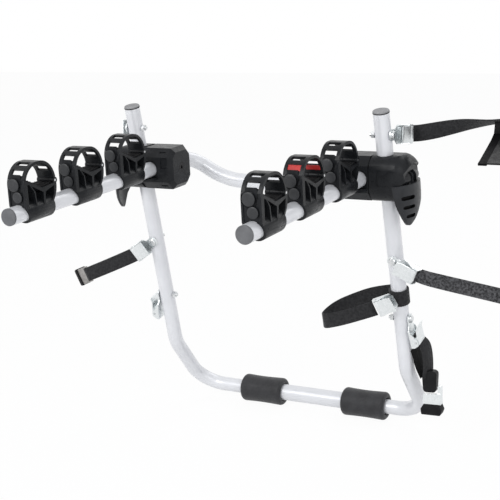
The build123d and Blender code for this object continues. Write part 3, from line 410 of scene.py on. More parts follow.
def band(name, line, sides, width=WIDTH, thick=THICK, look=WEBBING, ease=True):
    """Flat strap along a line. sides gives (share of length, direction of its width)."""
    lengths = [0.0]
    for before, at in zip(line, line[1:]):
        lengths.append(lengths[-1] + (at - before).length)
    profile = strap_profile(width, thick)
    made = bmesh.new()
    uv = made.loops.layers.uv.new("strap")
    rings = []
    for index, at in enumerate(line):
        ahead = (line[min(index + 1, len(line) - 1)] - line[max(index - 1, 0)]).normalized()
        side = side_at(lengths[index] / lengths[-1], sides, ease)
        side = (side - ahead * side.dot(ahead)).normalized()
        flat = ahead.cross(side)
        rings.append([made.verts.new(at + side * a + flat * b) for a, b in profile])
    count = len(profile)
    for index, (ring, following) in enumerate(zip(rings, rings[1:])):
        for corner in range(count):
            after = (corner + 1) % count
            face = made.faces.new((ring[corner], ring[after], following[after], following[corner]))
            face.smooth = True
            spans = ((corner, index), (after, index), (after, index + 1), (corner, index + 1))
            for loop, (at, step) in zip(face.loops, spans):
                loop[uv].uv = (profile[at][0], lengths[step])
    made.faces.new(list(reversed(rings[0])))
    made.faces.new(rings[-1])
    bmesh.ops.recalc_face_normals(made, faces=made.faces)
    data = bpy.data.meshes.new(name)
    made.to_mesh(data)
    made.free()
    obj = placed(name, data)
    dress(obj, look)
    return obj


# Routes from the buckle on, each with the direction of the strap's width at shares of
# its length
LEAN = math.radians(11.2)
POST_UP = Vector((0, -math.sin(LEAN), math.cos(LEAN)))
straps = {
    "top_right": (
        [
            (0.26765, 0.01847, 0.06974),
            (0.27213, 0.03632, 0.06792),
            (0.2755, 0.0455, 0.0668),
            (0.287, 0.0465, 0.0675),
            (0.314, 0.0475, 0.0725),
            (0.344, 0.0520, 0.0790),
            (0.381, 0.0520, 0.0860),
            (0.448, 0.0450, 0.0925),
        ],
        [
            (0.0, (0, 0.101, 0.995)),
            (0.22, (0, 0.09, 0.996)),
            (0.82, (0, -0.93, 0.37)),
            (1.0, (0, -0.93, 0.37)),
        ],
    ),
    "mid_left": (
        [
            (-0.27393, 0.0162, -0.1709),
            (-0.28945, 0.01816, -0.18078),
            (-0.3300, 0.0215, -0.1985),
            (-0.3800, 0.0260, -0.2200),
            (-0.4200, 0.0297, -0.2365),
        ],
        [(0.0, (0.545, 0.163, -0.823)), (0.4, (0.40, 0.10, -0.91)), (1.0, (0.38, 0.05, -0.92))],
    ),
    "mid_right": (
        [
            (0.27574, 0.0156, -0.16783),
            (0.29222, 0.01723, -0.17607),
            (0.3400, 0.0165, -0.1835),
            (0.4000, 0.0190, -0.1930),
            (0.4580, 0.0213, -0.2025),
        ],
        [(0.0, (0.454, -0.173, 0.874)), (0.35, (0.16, -0.10, 0.98)), (1.0, (0.13, -0.08, 0.99))],
    ),
    "low_right": (
        [
            (0.2654, 0.05921, -0.29906),
            (0.2730, 0.0630, -0.3040),
            (0.2830, 0.0670, -0.3150),
            (0.2857, 0.0705, -0.3312),
            (0.2858, 0.0735, -0.3511),
            (0.2845, 0.0760, -0.3691),
            (0.2835, 0.0780, -0.3800),
        ],
        [(0.0, (0, 0.981, 0.194)), (0.3, (0.3, 0.95, 0)), (1.0, (0.35, 0.93, 0.0))],
    ),
}
TIE_ROUTE = [
    (0.2260, 0.0660, -0.2220),
    (0.1900, 0.0720, -0.2300),
    (0.1500, 0.0750, -0.2470),
    (0.1130, 0.0750, -0.2650),
    (0.0970, 0.0580, -0.2760),
    (0.0970, 0.0350, -0.2800),
    (0.1130, 0.0190, -0.2760),
    (0.1560, 0.0190, -0.2630),
    (0.2066, 0.0230, -0.2430),
]
for name, (points, sides) in straps.items():
    strap = band("webbing_" + name, smooth_line(name, points), sides, ease=name != "top_right")
    if name == "mid_right":  # lighter flecks in the photograph
        dress(strap, WEBBING_GREY)
    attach(strap, "support_frame")
    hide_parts("strap_" + name)

tie_line = smooth_line("tie", TIE_ROUTE)
TIE_SIDES = [(0.0, POST_UP), (0.8, POST_UP), (1.0, Vector((-0.407, -0.177, 0.896)))]
tie = band("webbing_tie", tie_line, TIE_SIDES)
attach(tie, "support_frame")
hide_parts("tie_strap")


# Pieces that stand for plainer solids of the frame, or that add a detail. Lengths in
# millimetres from here on.
MM = 0.001
MERGE = 0.00002


def add_object(name, points, faces, look, scale=MM):
    """Mesh object from points and faces."""
    data = bpy.data.meshes.new(name)
    data.from_pydata([tuple(c * scale for c in point) for point in points], [], faces)
    made = bmesh.new()
    made.from_mesh(data)
    bmesh.ops.remove_doubles(made, verts=made.verts, dist=MERGE)
    bmesh.ops.recalc_face_normals(made, faces=made.faces)
    made.to_mesh(data)
    made.free()
    obj = placed(name, data)
    dress(obj, look)
    return obj


def shade(obj, angle=35.0):
    """Smooth faces with sharp edges above an angle."""
    obj.data.shade_smooth()
    obj.data.set_sharp_from_angle(angle=math.radians(angle))


def node_copy(node, name, look):
    """Free copy of a CAD node's surface."""
    data = nodes[node].data
    points = [vertex.co for vertex in data.vertices]
    faces = [tuple(face.vertices) for face in data.polygons]
    return add_object(name, points, faces, look, 1.0)


def carve(obj, cutters, operation="DIFFERENCE", keep_looks=False):
    """Applied boolean of an object with others, which are removed.

    With keep_looks the faces that a cutter leaves keep the cutter's look.
    """
    for cutter in cutters:
        cut = obj.modifiers.new("cut", "BOOLEAN")
        cut.solver = "EXACT"
        cut.operation = operation
        cut.object = cutter
        cut.material_mode = "TRANSFER" if keep_looks else "INDEX"
    bpy.context.view_layer.update()
    held = obj.evaluated_get(bpy.context.evaluated_depsgraph_get())
    data = bpy.data.meshes.new_from_object(held)
    obj.modifiers.clear()
    look = obj.data.materials[0]
    obj.data = data
    if not keep_looks:
        dress(obj, look)
    for cutter in cutters:
        bpy.data.objects.remove(cutter)


def join_into(obj, others):
    """Adds the surfaces of others to an object's mesh and removes them."""
    made = bmesh.new()
    made.from_mesh(obj.data)
    for other in others:
        made.from_mesh(other.data)
        bpy.data.objects.remove(other)
    made.to_mesh(obj.data)
    made.free()


def rings_object(name, rings, look, closed=False):
    """Skin over rings of points with the same count, with ends capped."""
    count = len(rings[0])
    points = [point for ring in rings for point in ring]
    faces = []
    for index in range(len(rings) if closed else len(rings) - 1):
        first, second = index * count, (index + 1) % len(rings) * count
        for corner in range(count):
            after = (corner + 1) % count
            faces.append((first + corner, first + after, second + after, second + corner))
    if not closed:
        faces.append(tuple(range(count))[::-1])
        faces.append(tuple(range(len(points) - count, len(points))))
    return add_object(name, points, faces, look)


def lathe(name, place, axis, profile, look, steps=48, closed=False):
    """Turned piece: profile gives (distance along the axis, radius) from place."""
    axis = Vector(axis).normalized()
    side = axis.orthogonal().normalized()
    up = axis.cross(side)
    angles = [2 * math.pi * step / steps for step in range(steps)]
    spokes = [side * math.cos(angle) + up * math.sin(angle) for angle in angles]
    rings = []
    for along, radius in profile:
        centre = Vector(place) + axis * along
        rings.append([centre + spoke * radius for spoke in spokes])
    return rings_object(name, rings, look, closed)


def prism(name, outline, look, start, end):
    """Closed outline in the Y-Z plane drawn out along X."""
    return rings_object(name, [[(x, y, z) for y, z in outline] for x in (start, end)], look)


def rounded_outline(corners, radius, steps=5):
    """Outline with each corner turned into an arc."""
    made = []
    count = len(corners)
    for index, corner in enumerate(corners):
        corner = Vector(corner)
        before = (Vector(corners[index - 1]) - corner).normalized()
        after = (Vector(corners[(index + 1) % count]) - corner).normalized()
        half = before.angle(after) / 2
        reach = radius / math.tan(half)
        centre = corner + (before + after).normalized() * radius / math.sin(half)
        first, last = corner + before * reach - centre, corner + after * reach - centre
        turn = first.angle_signed(last)
        for step in range(steps + 1):
            angle = -turn * step / steps
            made.append(
                (
                    centre.x + first.x * math.cos(angle) - first.y * math.sin(angle),
                    centre.y + first.x * math.sin(angle) + first.y * math.cos(angle),
                )
            )
    return made


def flat_plate(name, corners, radius, look, front, back, steps=5):
    """Plate with an outline in the X-Z plane, rounded at its corners, drawn out along Y."""
    outline = rounded_outline(corners, radius, steps)
    return rings_object(name, [[(x, y, z) for x, z in outline] for y in (front, back)], look)


def stand_in(obj, body, *stands_for):
    """The piece rides on a body and takes the place of CAD nodes."""
    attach(obj, body)
    if stands_for:
        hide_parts(*stands_for)


# Foam pads: slightly waisted tubes with soft ends on the bottom tube
PAD_BORE = 16.3
PAD_EDGE, PAD_EDGE_STEPS = 7.0, 8
PAD_MOUTH = 2.5
PAD_WAIST, PAD_WAIST_STEPS = 0.7, 24
PAD_SKIN = 8.0
PAD_UNEVEN, PAD_WAVES = 0.35, 26.0


def pad_profile(half, radius):
    """(distance along, radius) from the middle of a pad's bore round to it again."""
    profile = [(-half + PAD_EDGE / 3, PAD_BORE), (-half, PAD_BORE + PAD_MOUTH)]
    for step in range(PAD_EDGE_STEPS + 1):
        angle = math.pi / 2 * step / PAD_EDGE_STEPS
        along = -half + PAD_EDGE * (1 - math.cos(angle))
        profile.append((along, radius - PAD_EDGE * (1 - math.sin(angle))))
    for step in range(1, PAD_WAIST_STEPS // 2):
        along = -half + PAD_EDGE + (2 * half - 2 * PAD_EDGE) * step / PAD_WAIST_STEPS
        profile.append((along, radius - PAD_WAIST * math.sin(math.pi * step / PAD_WAIST_STEPS)))
    return profile + [(-along, reach) for along, reach in reversed(profile)]


def make_uneven(pad, middle, radius):
    """Soft hollows in a pad's skin."""
    for vertex in pad.data.vertices:
        if (vertex.co.yz - (middle * MM).yz).length > (radius - PAD_SKIN) * MM:
            x, y, z = vertex.co * PAD_WAVES
            push = math.sin(x * 2.1 + 1.3) * math.sin(y * 1.7) + 0.6 * math.sin(z * 3.1 + x)
            inward = Vector((vertex.co.x, middle.y * MM, middle.z * MM)) - vertex.co
            vertex.co += inward.normalized() * PAD_UNEVEN * MM * (1 + push)


for side in ("left", "right"):
    low, high = (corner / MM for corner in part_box("foam_pad_" + side))
    middle = (low + high) / 2
    radius = (high.z - low.z) / 2
    profile = pad_profile((high.x - low.x) / 2, radius)
    pad = lathe("foam_" + side, middle, (1, 0, 0), profile, FOAM, 72, closed=True)
    make_uneven(pad, middle, radius)
    shade(pad, 50.0)
    stand_in(pad, "support_frame", "foam_pad_" + side)

# Webbing wrapped round the post under the tie buckle, two thicknesses
POST_X = 245.0
WRAP_PLACE = -226.0
WRAP_INNER, WRAP_OUTER = 14.3, 17.9
WRAP_HALF, WRAP_EDGE = 14.0, 0.6
wrap_middle = Vector((POST_X, 0, 0)) + POST_UP * WRAP_PLACE
wrap_profile = [
    (-WRAP_HALF, WRAP_INNER),
    (-WRAP_HALF, WRAP_OUTER - WRAP_EDGE),
    (-WRAP_HALF + WRAP_EDGE, WRAP_OUTER),
    (WRAP_HALF - WRAP_EDGE, WRAP_OUTER),
    (WRAP_HALF, WRAP_OUTER - WRAP_EDGE),
    (WRAP_HALF, WRAP_INNER),
]
wrap = lathe("webbing_wrap", wrap_middle, POST_UP, wrap_profile, WEBBING, 64, closed=True)
wrap_uv = wrap.data.uv_layers.new(name="strap")
for loop in wrap.data.loops:
    spot = wrap.data.vertices[loop.vertex_index].co / MM - wrap_middle
    up = spot.dot(POST_UP)
    flat = spot - POST_UP * up
    wrap_uv.data[loop.index].uv = (up * MM, math.atan2(flat.y, flat.x) * WRAP_OUTER * MM)
shade(wrap)
stand_in(wrap, "support_frame", "tie_wrap")

# Hub halves on the posts and their levers, made on the right side and mirrored. The
# outboard end is a little longer and rounder than the solid's. A lever's plate is
# curved both ways; its outer and inner faces lie on two circles seen from above.
WIDEN_FROM, WIDEN_TO, WIDEN = 270.0, 288.0, 10.0
HUB_HALF = 39.4
HUB_ROUND = 0.67
SHOULDER, SHOULDER_STEPS = 30.0, 12
HUB_START, HUB_END = 200.0, 298.0
HUB_END_CENTRE = (16.0, -12.0)
FAR_OUT = 330.0
LEVER_CENTRE = (214.2, 5.0)
PLATE_INNER, PLATE_OUTER = 72.8, 77.8
SEAT_SHIFT = 4.0
SEAT_GAP = 0.4
LEVER_TOP = -8.0
ROOM_LOW = -50.0
PIN_X = 279.0
SWING, SWING_STEPS = math.radians(97.0), 12
SWING_GAP = 0.6
SWING_LOW = -25.0
SWING_OUT, SWING_RISE = 40.0, 24.0
HUB_EDGE, LEVER_EDGE = 0.0010, 0.0008

# Rows down the lever: height, front edge, back edge, how far the outer face is set out
PLATE_ROWS = (
    (-8.0, -47.0, 47.0, 4.5),
    (-14.0, -46.4, 46.0, 4.9),
    (-21.0, -45.5, 43.5, 5.2),
    (-30.0, -44.0, 38.0, 5.6),
    (-40.0, -42.0, 29.0, 5.8),
    (-48.0, -39.6, 20.0, 5.4),
    (-57.0, -35.6, 11.5, 4.7),
    (-64.0, -31.2, 6.0, 3.4),
    (-70.0, -26.4, 0.5, 2.1),
    (-74.0, -22.6, -4.6, 0.9),
    (-77.0, -18.8, -9.4, 0.2),
    (-78.2, -16.4, -12.6, 0.0),
)
PLATE_STEPS = 16
PLATE_BEVEL = 1.6
THIN_FROM, THIN_OVER, THIN_TO = 44.0, 12.0, 0.8
# Blind finger slots: front, back, top, bottom, how far the outer face is set out there
SLOTS = (
    (-38.6, -8.6, -26.2, -33.0, 5.0),
    (-35.4, -8.0, -42.6, -48.4, 5.0),
    (-27.8, -5.0, -58.2, -64.4, 3.6),
)
SLOT_DEPTH, SLOT_STEPS, SLOT_PINCH = 4.4, 8, 1.4
# The neck of the CAD lever inside these limits, and a bridge from it to the plate
NECK_X, NECK_HALF, NECK_LOW, NECK_HIGH = (262.0, 287.5), 11.5, -16.5, 14.0
BRIDGE_X, BRIDGE_HALF, BRIDGE_LOW, BRIDGE_HIGH = (284.0, 293.0), 10.8, -15.5, -8.2


def widened(spot):
    """Where a point of the right hub's outboard end goes."""
    x, y, z = spot
    return Vector((x + WIDEN * clamp((x - WIDEN_FROM) / (WIDEN_TO - WIDEN_FROM)), y, z))


def plate_x(y, radius, shift):
    """Place across the car of a point on the lever's curve."""
    reach = math.sqrt(max(radius**2 - (y - LEVER_CENTRE[1]) ** 2, 0.0))
    return LEVER_CENTRE[0] + reach + shift


def mirrored(obj, name):
    """Copy of a right-hand piece for the left side."""
    data = obj.data.copy()
    data.transform(Matrix.Scale(-1, 4, (1, 0, 0)))
    data.flip_normals()
    return placed(name, data)


def square_ring(x, share, half=HUB_HALF, centre=(0.0, 0.0), steps=10):
    """Ring of a rounded square at a place along X, drawn in towards a centre."""
    ring = []
    radius = half * HUB_ROUND
    for corner, turn in enumerate(((1, 1), (-1, 1), (-1, -1), (1, -1))):
        for step in range(steps):
            angle = math.pi / 2 * (corner + step / (steps - 1))
            y = turn[0] * (half - radius) + radius * math.cos(angle) - centre[0]
            z = turn[1] * (half - radius) + radius * math.sin(angle) - centre[1]
            ring.append((x, centre[0] + y * share, centre[1] + z * share))
    return ring


def hub_dome():
    """Rounded form that the widened hub is cut to."""
    rings = [square_ring(HUB_START, 1.0), square_ring(HUB_END - SHOULDER, 1.0)]
    for step in range(1, SHOULDER_STEPS + 1):
        angle = math.pi / 2 * step / SHOULDER_STEPS
        share = (HUB_HALF - SHOULDER * (1 - math.cos(angle))) / HUB_HALF
        x = HUB_END - SHOULDER * (1 - math.sin(angle))
        rings.append(square_ring(x, share, centre=HUB_END_CENTRE))
    return rings_object("dome", rings, BLACK)


def lever_room():
    """Cutter for the closed lever's seat."""
    rings = []
    for z in (LEVER_TOP + SEAT_GAP, ROOM_LOW):
        ring = [(plate_x(y, PLATE_INNER, SEAT_SHIFT - SEAT_GAP), y, z) for y in range(-62, 68, 5)]
        rings.append(ring + [(FAR_OUT, 63.0, z), (FAR_OUT, -62.0, z)])
    return rings_object("room", rings, BLACK)


def swing_room():
    """Cutter for the way of the lever's top edge as it swings out."""
    rings = []
    for y in range(-52, 54, 4):
        low_x = plate_x(y, PLATE_INNER, SEAT_SHIFT) - SWING_GAP - PIN_X
        high_x = plate_x(y, PLATE_OUTER, PLATE_ROWS[0][3]) + SWING_GAP - PIN_X
        near = math.hypot(low_x, LEVER_TOP) - SWING_GAP / 2
        start = math.atan2(LEVER_TOP, low_x)
        ring = [(PIN_X + low_x, y, SWING_LOW)]
        for step in range(SWING_STEPS + 1):
            angle = start + SWING * step / SWING_STEPS
            ring.append((PIN_X + near * math.cos(angle), y, near * math.sin(angle)))
        end = math.atan2(LEVER_TOP, high_x) + SWING
        far = math.hypot(high_x, LEVER_TOP) + SWING_GAP
        top = far * math.sin(end)
        ring.append((PIN_X + far * math.cos(end) - SWING_GAP, y, top + SWING_GAP))
        ring.append((PIN_X + SWING_OUT, y, top + SWING_RISE))
        ring.append((PIN_X + SWING_OUT, y, SWING_LOW))
        rings.append(ring)
    return rings_object("swing", rings, BLACK)


def lever_plate():
    """The lever's curved plate, thinner towards its tip."""
    rings = []
    for z, front, back, shift in PLATE_ROWS:
        thinner = clamp((-z - THIN_FROM) / THIN_OVER)
        inner_shift = SEAT_SHIFT + (shift - THIN_TO - SEAT_SHIFT) * thinner
        edge = min(PLATE_BEVEL, (back - front) / 4)
        ring = []
        for step in range(PLATE_STEPS + 1):
            y = front + (back - front) * step / PLATE_STEPS
            inset = edge * (step in (0, PLATE_STEPS))
            ring.append((plate_x(y, PLATE_OUTER, shift) - inset, y, z))
        for step in range(PLATE_STEPS + 1):
            y = back - (back - front) * step / PLATE_STEPS
            inset = edge * (step in (0, PLATE_STEPS)) / 2
            ring.append((plate_x(y, PLATE_INNER, inner_shift) + inset, y, z))
        rings.append(ring)
    return rings_object("quick_lever_right", rings, LEVER_BLACK)


def finger_slot(front, back, top, low, shift):
    """Cutter for one blind slot in the lever's outer face; its near-black look, kept on the slot's
    faces, is painted shade.
    """
    rings = []
    for step in range(SLOT_STEPS + 1):
        y = front + (back - front) * step / SLOT_STEPS
        pinch = SLOT_PINCH if step in (0, SLOT_STEPS) else 0.0
        near = plate_x(y, PLATE_OUTER, shift) - SLOT_DEPTH
        bottom, high = low + pinch, top - pinch
        ring = [(near, y, bottom), (near, y, high)]
        rings.append(ring + [(FAR_OUT, y, high), (FAR_OUT, y, bottom)])
    return rings_object("slot", rings, DIPPED_BLACK_AND_SLOT_SHADE)


def lever_block(name, places, half, low, high):
    """Plain block about the middle of the lever."""
    corners = [(-half, low), (half, low), (half, high), (-half, high)]
    return prism(name, corners, BLACK, *places)


housing = node_copy("upright_housing_right", "post_hub_right", BLACK)
for vertex in housing.data.vertices:
    vertex.co = widened(vertex.co / MM) * MM
carve(housing, [hub_dome()], "INTERSECT")
carve(housing, [lever_room(), swing_room()])
shade(housing, 30.0)

lever = lever_plate()
# The slots' faces keep the cutter's near-black look as painted shade
carve(lever, [finger_slot(*slot) for slot in SLOTS], keep_looks=True)
neck = node_copy("cam_lever_right", "neck", BLACK)
carve(neck, [lever_block("keep", NECK_X, NECK_HALF, NECK_LOW, NECK_HIGH)], "INTERSECT")
bridge = lever_block("bridge", BRIDGE_X, BRIDGE_HALF, BRIDGE_LOW, BRIDGE_HIGH)
join_into(lever, [neck, bridge])
shade(lever, 30.0)

for made, kind, edge in ((housing, "post_hub", HUB_EDGE), (lever, "quick_lever", LEVER_EDGE)):
    for side, obj in (("right", made), ("left", mirrored(made, kind + "_left"))):
        soften(obj, edge, 30.0)
        if kind == "post_hub":
            stand_in(obj, "support_frame", "upright_housing_" + side)
        else:
            stand_in(obj, "lever_" + side, "cam_lever_" + side)

# Dark rings under the posts' caps: painted shadow of the caps
STUB = 114.0
RIM_INNER, RIM_OUTER, RIM_LOW, RIM_HIGH = 13.9, 14.35, -0.6, 0.9
cap_shadow_profile = [(RIM_LOW, RIM_INNER), (RIM_LOW, RIM_OUTER)]
cap_shadow_profile += [(RIM_HIGH, RIM_OUTER), (RIM_HIGH, RIM_INNER)]
for side, sign in (("left", -1), ("right", 1)):
    top = Vector((sign * POST_X, 0, 0)) + POST_UP * STUB
    cap_shadow = lathe("post_cap_shadow_" + side, top, POST_UP, cap_shadow_profile, CAP_BLACK, 64, closed=True)
    shade(cap_shadow)
    stand_in(cap_shadow, "support_frame")

# Cradle straps: the front window goes through the tongue too. Discs and screw caps.
ARM_X, CRADLE_FIRST, CRADLE_STEP = 207.0, -380.0, 133.0
RING_CENTRE = Vector((0, 3.03, 39.96))
WINDOW_ANGLE = 144.0
STRAP_EDGE = 0.0009
CAP_PROFILE = ((0, 1.0), (0.9, 1.0), (1.4, 0.93), (1.7, 0.7), (1.8, 0.35), (1.8, 0.05))
DISC_PLACE, DISC_RADIUS = Vector((-2.97, -39.8, 45.78)), 10.3
SCREW_PLACE, SCREW_RADIUS = Vector((2.8, -39.6, 26.4)), 8.8
SCREW_DEPTH = 0.8


def window_block(angle, near, far, width, length, look):
    """Block set outward from the ring's centre at an angle in the side view."""
    out = Vector((0, math.cos(math.radians(angle)), math.sin(math.radians(angle))))
    along = Vector((0, -out.z, out.y))
    rings = []
    for reach in (near, far):
        ring = []
        for sx, sy in ((-1, -1), (1, -1), (1, 1), (-1, 1)):
            across = Vector((sx * width / 2, 0, 0))
            ring.append(RING_CENTRE + out * reach + across + along * sy * length / 2)
        rings.append(ring)
    return rings_object("window", rings, look)


def round_cap(name, place, radius, depth, body):
    """Domed cap on the front of a cradle, in black plastic made lighter as painted sheen."""
    profile = [(along * depth, share * radius) for along, share in CAP_PROFILE]
    cap = lathe(name, place, (0, -1, 0), profile, DISC_SHEEN)
    shade(cap, 50.0)
    stand_in(cap, body)


first_strap = node_copy("cradle_strap_right_1", "cradle_band", BLACK)
for vertex in first_strap.data.vertices:
    vertex.co -= Vector((ARM_X, CRADLE_FIRST, 0)) * MM
carve(first_strap, [window_block(WINDOW_ANGLE, 15.0, 70.0, 22.0, 10.5, BLACK)])
shade(first_strap, 30.0)
for side, place_x in (("left", -ARM_X), ("right", ARM_X)):
    for count in range(3):
        name = f"{side}_{count + 1}"
        place = Vector((place_x, CRADLE_FIRST + CRADLE_STEP * count, 0))
        strap = placed("cradle_band_" + name, first_strap.data.copy())
        strap.data.transform(Matrix.Translation(place * MM))
        soften(strap, STRAP_EDGE, 30.0)
        stand_in(strap, "strap_" + name, "cradle_strap_" + name)
        spot = place + DISC_PLACE
        round_cap("latch_disc_" + name, spot, DISC_RADIUS, 1.0, "strap_" + name)
        spot = place + SCREW_PLACE
        round_cap("screw_cap_" + name, spot, SCREW_RADIUS, SCREW_DEPTH, "bike_frame")
bpy.data.objects.remove(first_strap)

# Seam between the halves of each hub
SEAM_X, SEAM_HALF = (225.2, 226.9), 36.8
SEAM_BORE, SEAM_BORE_X = 31.2, (220, 232)
for side, sign in (("left", -1), ("right", 1)):
    seam_rings = [square_ring(sign * place, 1.0, SEAM_HALF) for place in SEAM_X]
    seam = rings_object("hub_seam_" + side, seam_rings, CAP_BLACK)
    bore_profile = [(place, SEAM_BORE) for place in SEAM_BORE_X]
    carve(seam, [lathe("bore", (0, 0, 0), (sign, 0, 0), bore_profile, CAP_BLACK)])
    shade(seam)
    stand_in(seam, "support_frame")

# Upper right hook: a black plate below the strap's end with a wing towards the front.
# The wing's outboard part is thinner and smoother than its inboard edge.
HOOK_X = (417.5, 463.0)
WING_EDGE_X, WING_X = (417.5, 432.0), (431.5, 463.0)
BACK_PLATE = [(44, 90), (42, 82), (39, 74), (35, 60), (31, 40), (29, 22)]
WING = [(37.5, 72), (22, 64), (4, 57), (-18, 49), (-40, 41), (-51, 37.5)]
WING_DROP = 1.5
PLATE_EDGE = 0.0008


def folded(name, path, thickness, places, look):
    """Bent plate: a path in the Y-Z plane given a thickness and drawn along X."""
    spots = [Vector(spot) for spot in path]
    normals = []
    for index in range(len(spots)):
        ahead = spots[min(index + 1, len(spots) - 1)] - spots[max(index - 1, 0)]
        normals.append(Vector((-ahead.y, ahead.x)).normalized() * thickness / 2)
    outline = [spot + normal for spot, normal in zip(spots, normals)]
    outline += [spot - normal for spot, normal in reversed(list(zip(spots, normals)))]
    made = prism(name, outline, look, *places)
    shade(made, 40.0)
    soften(made, PLATE_EDGE, 40.0)
    return made


back_plate = folded("top_hook_plate", BACK_PLATE, 4.0, HOOK_X, DIPPED_BLACK_AND_SLOT_SHADE)
wing_edge_path = [(y, z - WING_DROP) for y, z in WING]
wing_edge = folded("top_hook_edge", wing_edge_path, 4.0, WING_EDGE_X, DIPPED_BLACK_AND_SLOT_SHADE)
wing = folded("top_hook_wing", WING, 3.0, WING_X, COATED)
join_into(back_plate, [wing_edge])
stand_in(back_plate, "support_frame", "hook_top_right")
stand_in(wing, "support_frame", "hook_top_right")


def along_hook(end, onward, places):
    """Points on a hook from its strap's end: (onward, backward) distances."""
    back = Vector((0, 1, 0))
    return [Vector(end) + Vector(onward) * a * MM + back * b * MM for a, b in places]


# Hooks at the ends of the middle straps, with rubber over their bends
MID_REACH = {"left": 26.0, "right": 21.0}
GREY_RUN = ((-9, 2.2), (-2, 2.0), (6, 1.2), (14, 0.6), (20, 0.6))
GREY_WIDTH, GREY_THICK = 0.033, 0.0026
SLEEVE_WIDTH, SLEEVE_THICK = 0.0355, 0.0062
for side, reach in MID_REACH.items():
    points, sides = straps["mid_" + side]
    end = Vector(points[-1])
    onward = (end - Vector(points[-2])).normalized()
    level = [(0, sides[-1][1]), (1, sides[-1][1])]
    bend = [(reach - 1.0, 2.0), (reach, 9.0), (reach - 1.0, 18.0)]
    run = [(a * reach / MID_REACH["left"], b) for a, b in GREY_RUN]
    run += bend + [(reach - 4.0, 27.0)]
    line = smooth_line("hook_" + side, along_hook(end, onward, run))
    hook = band("mid_hook_" + side, line, level, GREY_WIDTH, GREY_THICK, HOOK_GREY)
    stand_in(hook, "support_frame", "hook_mid_" + side)
    run = [(reach * 0.62, 0.4)] + bend + [(reach - 4.4, 28.5)]
    line = smooth_line("sleeve_" + side, along_hook(end, onward, run))
    sleeve = band("hook_sleeve_" + side, line, level, SLEEVE_WIDTH, SLEEVE_THICK, RUBBER)
    stand_in(sleeve, "support_frame", "hook_rubbers")

# Lower right hook: cover round the webbing, folded bracket and rubber foot. Outlines
# are X-Z corners; the pairs after the looks are the front and back faces.
COVER = [(275.6, -409.5), (300.0, -407.8), (302.4, -366.5), (273.4, -369.0)]
BRACKET = [(275.3, -431.0), (308.6, -429.3), (308.8, -408.6), (276.0, -411.8)]
UPRIGHT = [(303.0, -431.0), (308.8, -431.0), (308.8, -395.0), (303.0, -395.0)]
SHELF = [(275.6, -431.4), (308.6, -430.2), (308.6, -427.4), (275.6, -428.6)]
FOOT = [
    (272.0, -451.8),
    (307.6, -450.6),
    (311.0, -441.7),
    (306.6, -431.0),
    (276.6, -431.6),
    (270.8, -441.0),
]
cover = flat_plate("low_hook_cover", COVER, 7.0, CAP_BLACK, 71.0, 85.0)
bracket = flat_plate("low_hook_bracket", BRACKET, 1.5, ZINC, 70.0, 73.0, 3)
upright = flat_plate("low_hook_upright", UPRIGHT, 1.2, ZINC, 72.5, 84.0, 3)
shelf = flat_plate("low_hook_shelf", SHELF, 1.2, ZINC, 72.5, 86.0, 3)
foot = flat_plate("low_hook_foot", FOOT, 2.5, RUBBER, 68.5, 88.0, 4)
join_into(bracket, [upright, shelf])
for piece, edge, node in (
    (cover, 0.0015, "hook_rubbers"),
    (bracket, 0.0006, "hook_low_right"),
    (foot, 0.0015, "hook_rubbers"),
):
    shade(piece, 30.0)
    soften(piece, edge, 30.0)
    stand_in(piece, "support_frame", node)

# The lower right strap's second thickness, behind the first, in a darker webbing that is painted
# shade. Route in metres.
INNER_ROUTE = [
    (0.2616, 0.0700, -0.3242),
    (0.2647, 0.0740, -0.3365),
    (0.2680, 0.0770, -0.3603),
    (0.2760, 0.0800, -0.3790),
]
INNER_SIDES = [(0.0, (0.3, 0.95, 0.0)), (1.0, (0.35, 0.93, 0.0))]
INNER_WIDTH = 0.026
inner_line = smooth_line("low_inner", INNER_ROUTE)
inner = band(
    "webbing_low_right_inner", inner_line, INNER_SIDES, INNER_WIDTH, look=WEBBING_SHADED
)
stand_in(inner, "support_frame")

# Red plates under the windows of the middle right cradle
RED_THICK, RED_WIDTH, RED_EDGE = 1.4, 24.0, 0.0004
red_place = Vector((ARM_X, CRADLE_FIRST + CRADLE_STEP, 0))
for name, angle, reach, length in (("front", WINDOW_ANGLE, 39.0, 15.0), ("rear", 22.0, 34.0, 8.0)):
    red = window_block(angle, reach, reach + RED_THICK, RED_WIDTH, length, RED)
    red.name = "red_plate_" + name
    red.data.transform(Matrix.Translation(red_place * MM))
    soften(red, RED_EDGE)
    stand_in(red, "strap_right_2")

# Background, floor and lamps. Camera, glossy and transmission rays see white; the rest
# is lit by the plain sky, and the floor keeps the shadow.
WHITE = (1.0, 1.0, 1.0, 1.0)
SKY, SKY_STRENGTH = (0.95, 0.97, 1.0, 1.0), 0.62
FLOOR_REACH, FLOOR_GAP = 6.0, 0.0005
FLOOR_TONE = (0.9, 0.9, 0.9, 1.0)
FLOOR_GLOW = 0.95


def added(tree, kind, operation=None, **inputs):
    """New node of a tree, with values for its inputs by name."""
    made = tree.nodes.new(kind)
    if operation:
        made.operation = operation
    for key, value in inputs.items():
        made.inputs[key].default_value = value
    return made


def seen_directly(tree):
    """1 for camera, glossy and transmission rays, else 0."""
    path = added(tree, "ShaderNodeLightPath")
    first = added(tree, "ShaderNodeMath", "MAXIMUM")
    tree.links.new(path.outputs["Is Camera Ray"], first.inputs[0])
    tree.links.new(path.outputs["Is Glossy Ray"], first.inputs[1])
    second = added(tree, "ShaderNodeMath", "MAXIMUM")
    tree.links.new(first.outputs[0], second.inputs[0])
    tree.links.new(path.outputs["Is Transmission Ray"], second.inputs[1])
    return second.outputs[0]


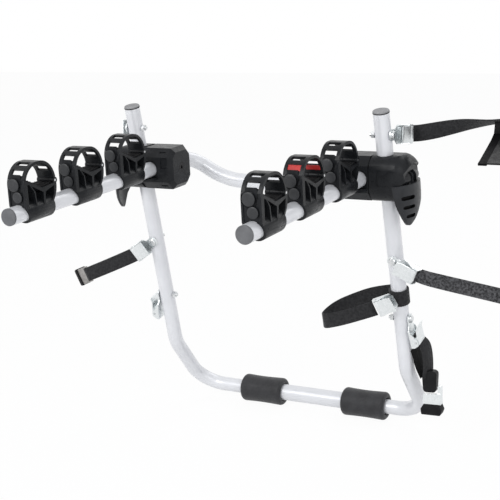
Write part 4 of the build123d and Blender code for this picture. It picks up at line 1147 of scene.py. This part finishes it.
def chosen(tree, fac, plain, bright, end):
    """Sends a mix of two shaders to a tree's end node."""
    mixed = added(tree, "ShaderNodeMixShader")
    tree.links.new(fac, mixed.inputs["Fac"])
    tree.links.new(plain.outputs[0], mixed.inputs[1])
    tree.links.new(bright.outputs[0], mixed.inputs[2])
    tree.links.new(mixed.outputs[0], tree.nodes[end].inputs["Surface"])


world = bpy.data.worlds.new("studio")
scene.world = world
world.use_nodes = True
sky = world.node_tree
plain = sky.nodes["Background"]
plain.inputs["Color"].default_value = SKY
plain.inputs["Strength"].default_value = SKY_STRENGTH
bright = added(sky, "ShaderNodeBackground", Color=WHITE, Strength=1.0)
chosen(sky, seen_directly(sky), plain, bright, "World Output")

floor_level = cad_box[0].z - FLOOR_GAP
floor_mesh = bpy.data.meshes.new("floor")
corners = ((-1, -1), (1, -1), (1, 1), (-1, 1))
floor_points = [(x * FLOOR_REACH, y * FLOOR_REACH, floor_level) for x, y in corners]
floor_mesh.from_pydata(floor_points, [], [(0, 1, 2, 3)])
floor = placed("floor", floor_mesh)
floor_look = bpy.data.materials.new("floor")
floor_look.use_nodes = True
ground = floor_look.node_tree
matt = ground.nodes["Principled BSDF"]
matt.inputs["Base Color"].default_value = FLOOR_TONE
matt.inputs["Roughness"].default_value = 0.9
matt.inputs["Specular IOR Level"].default_value = 0.0
glow = added(ground, "ShaderNodeEmission", Color=WHITE, Strength=1.0)
share = added(ground, "ShaderNodeMath", "MULTIPLY")
share.inputs[1].default_value = FLOOR_GLOW
ground.links.new(seen_directly(ground), share.inputs[0])
chosen(ground, share.outputs[0], matt, glow, "Material Output")
dress(floor, floor_look)


def lamp(name, place, size, power, aim=(0, -0.1, -0.1)):
    """Soft square lamp aimed at the rack."""
    data = bpy.data.lights.new(name, "AREA")
    data.shape = "SQUARE"
    data.size = size
    data.energy = power
    obj = placed(name, data)
    obj.location = place
    obj.rotation_euler = (Vector(aim) - Vector(place)).to_track_quat("-Z", "Y").to_euler()


lamp("key", (-0.6, -2.4, 1.5), 1.6, 42.0)
lamp("fill", (2.4, -1.6, 0.9), 1.8, 17.0)
lamp("back", (0.3, 2.2, 1.8), 1.8, 14.0)
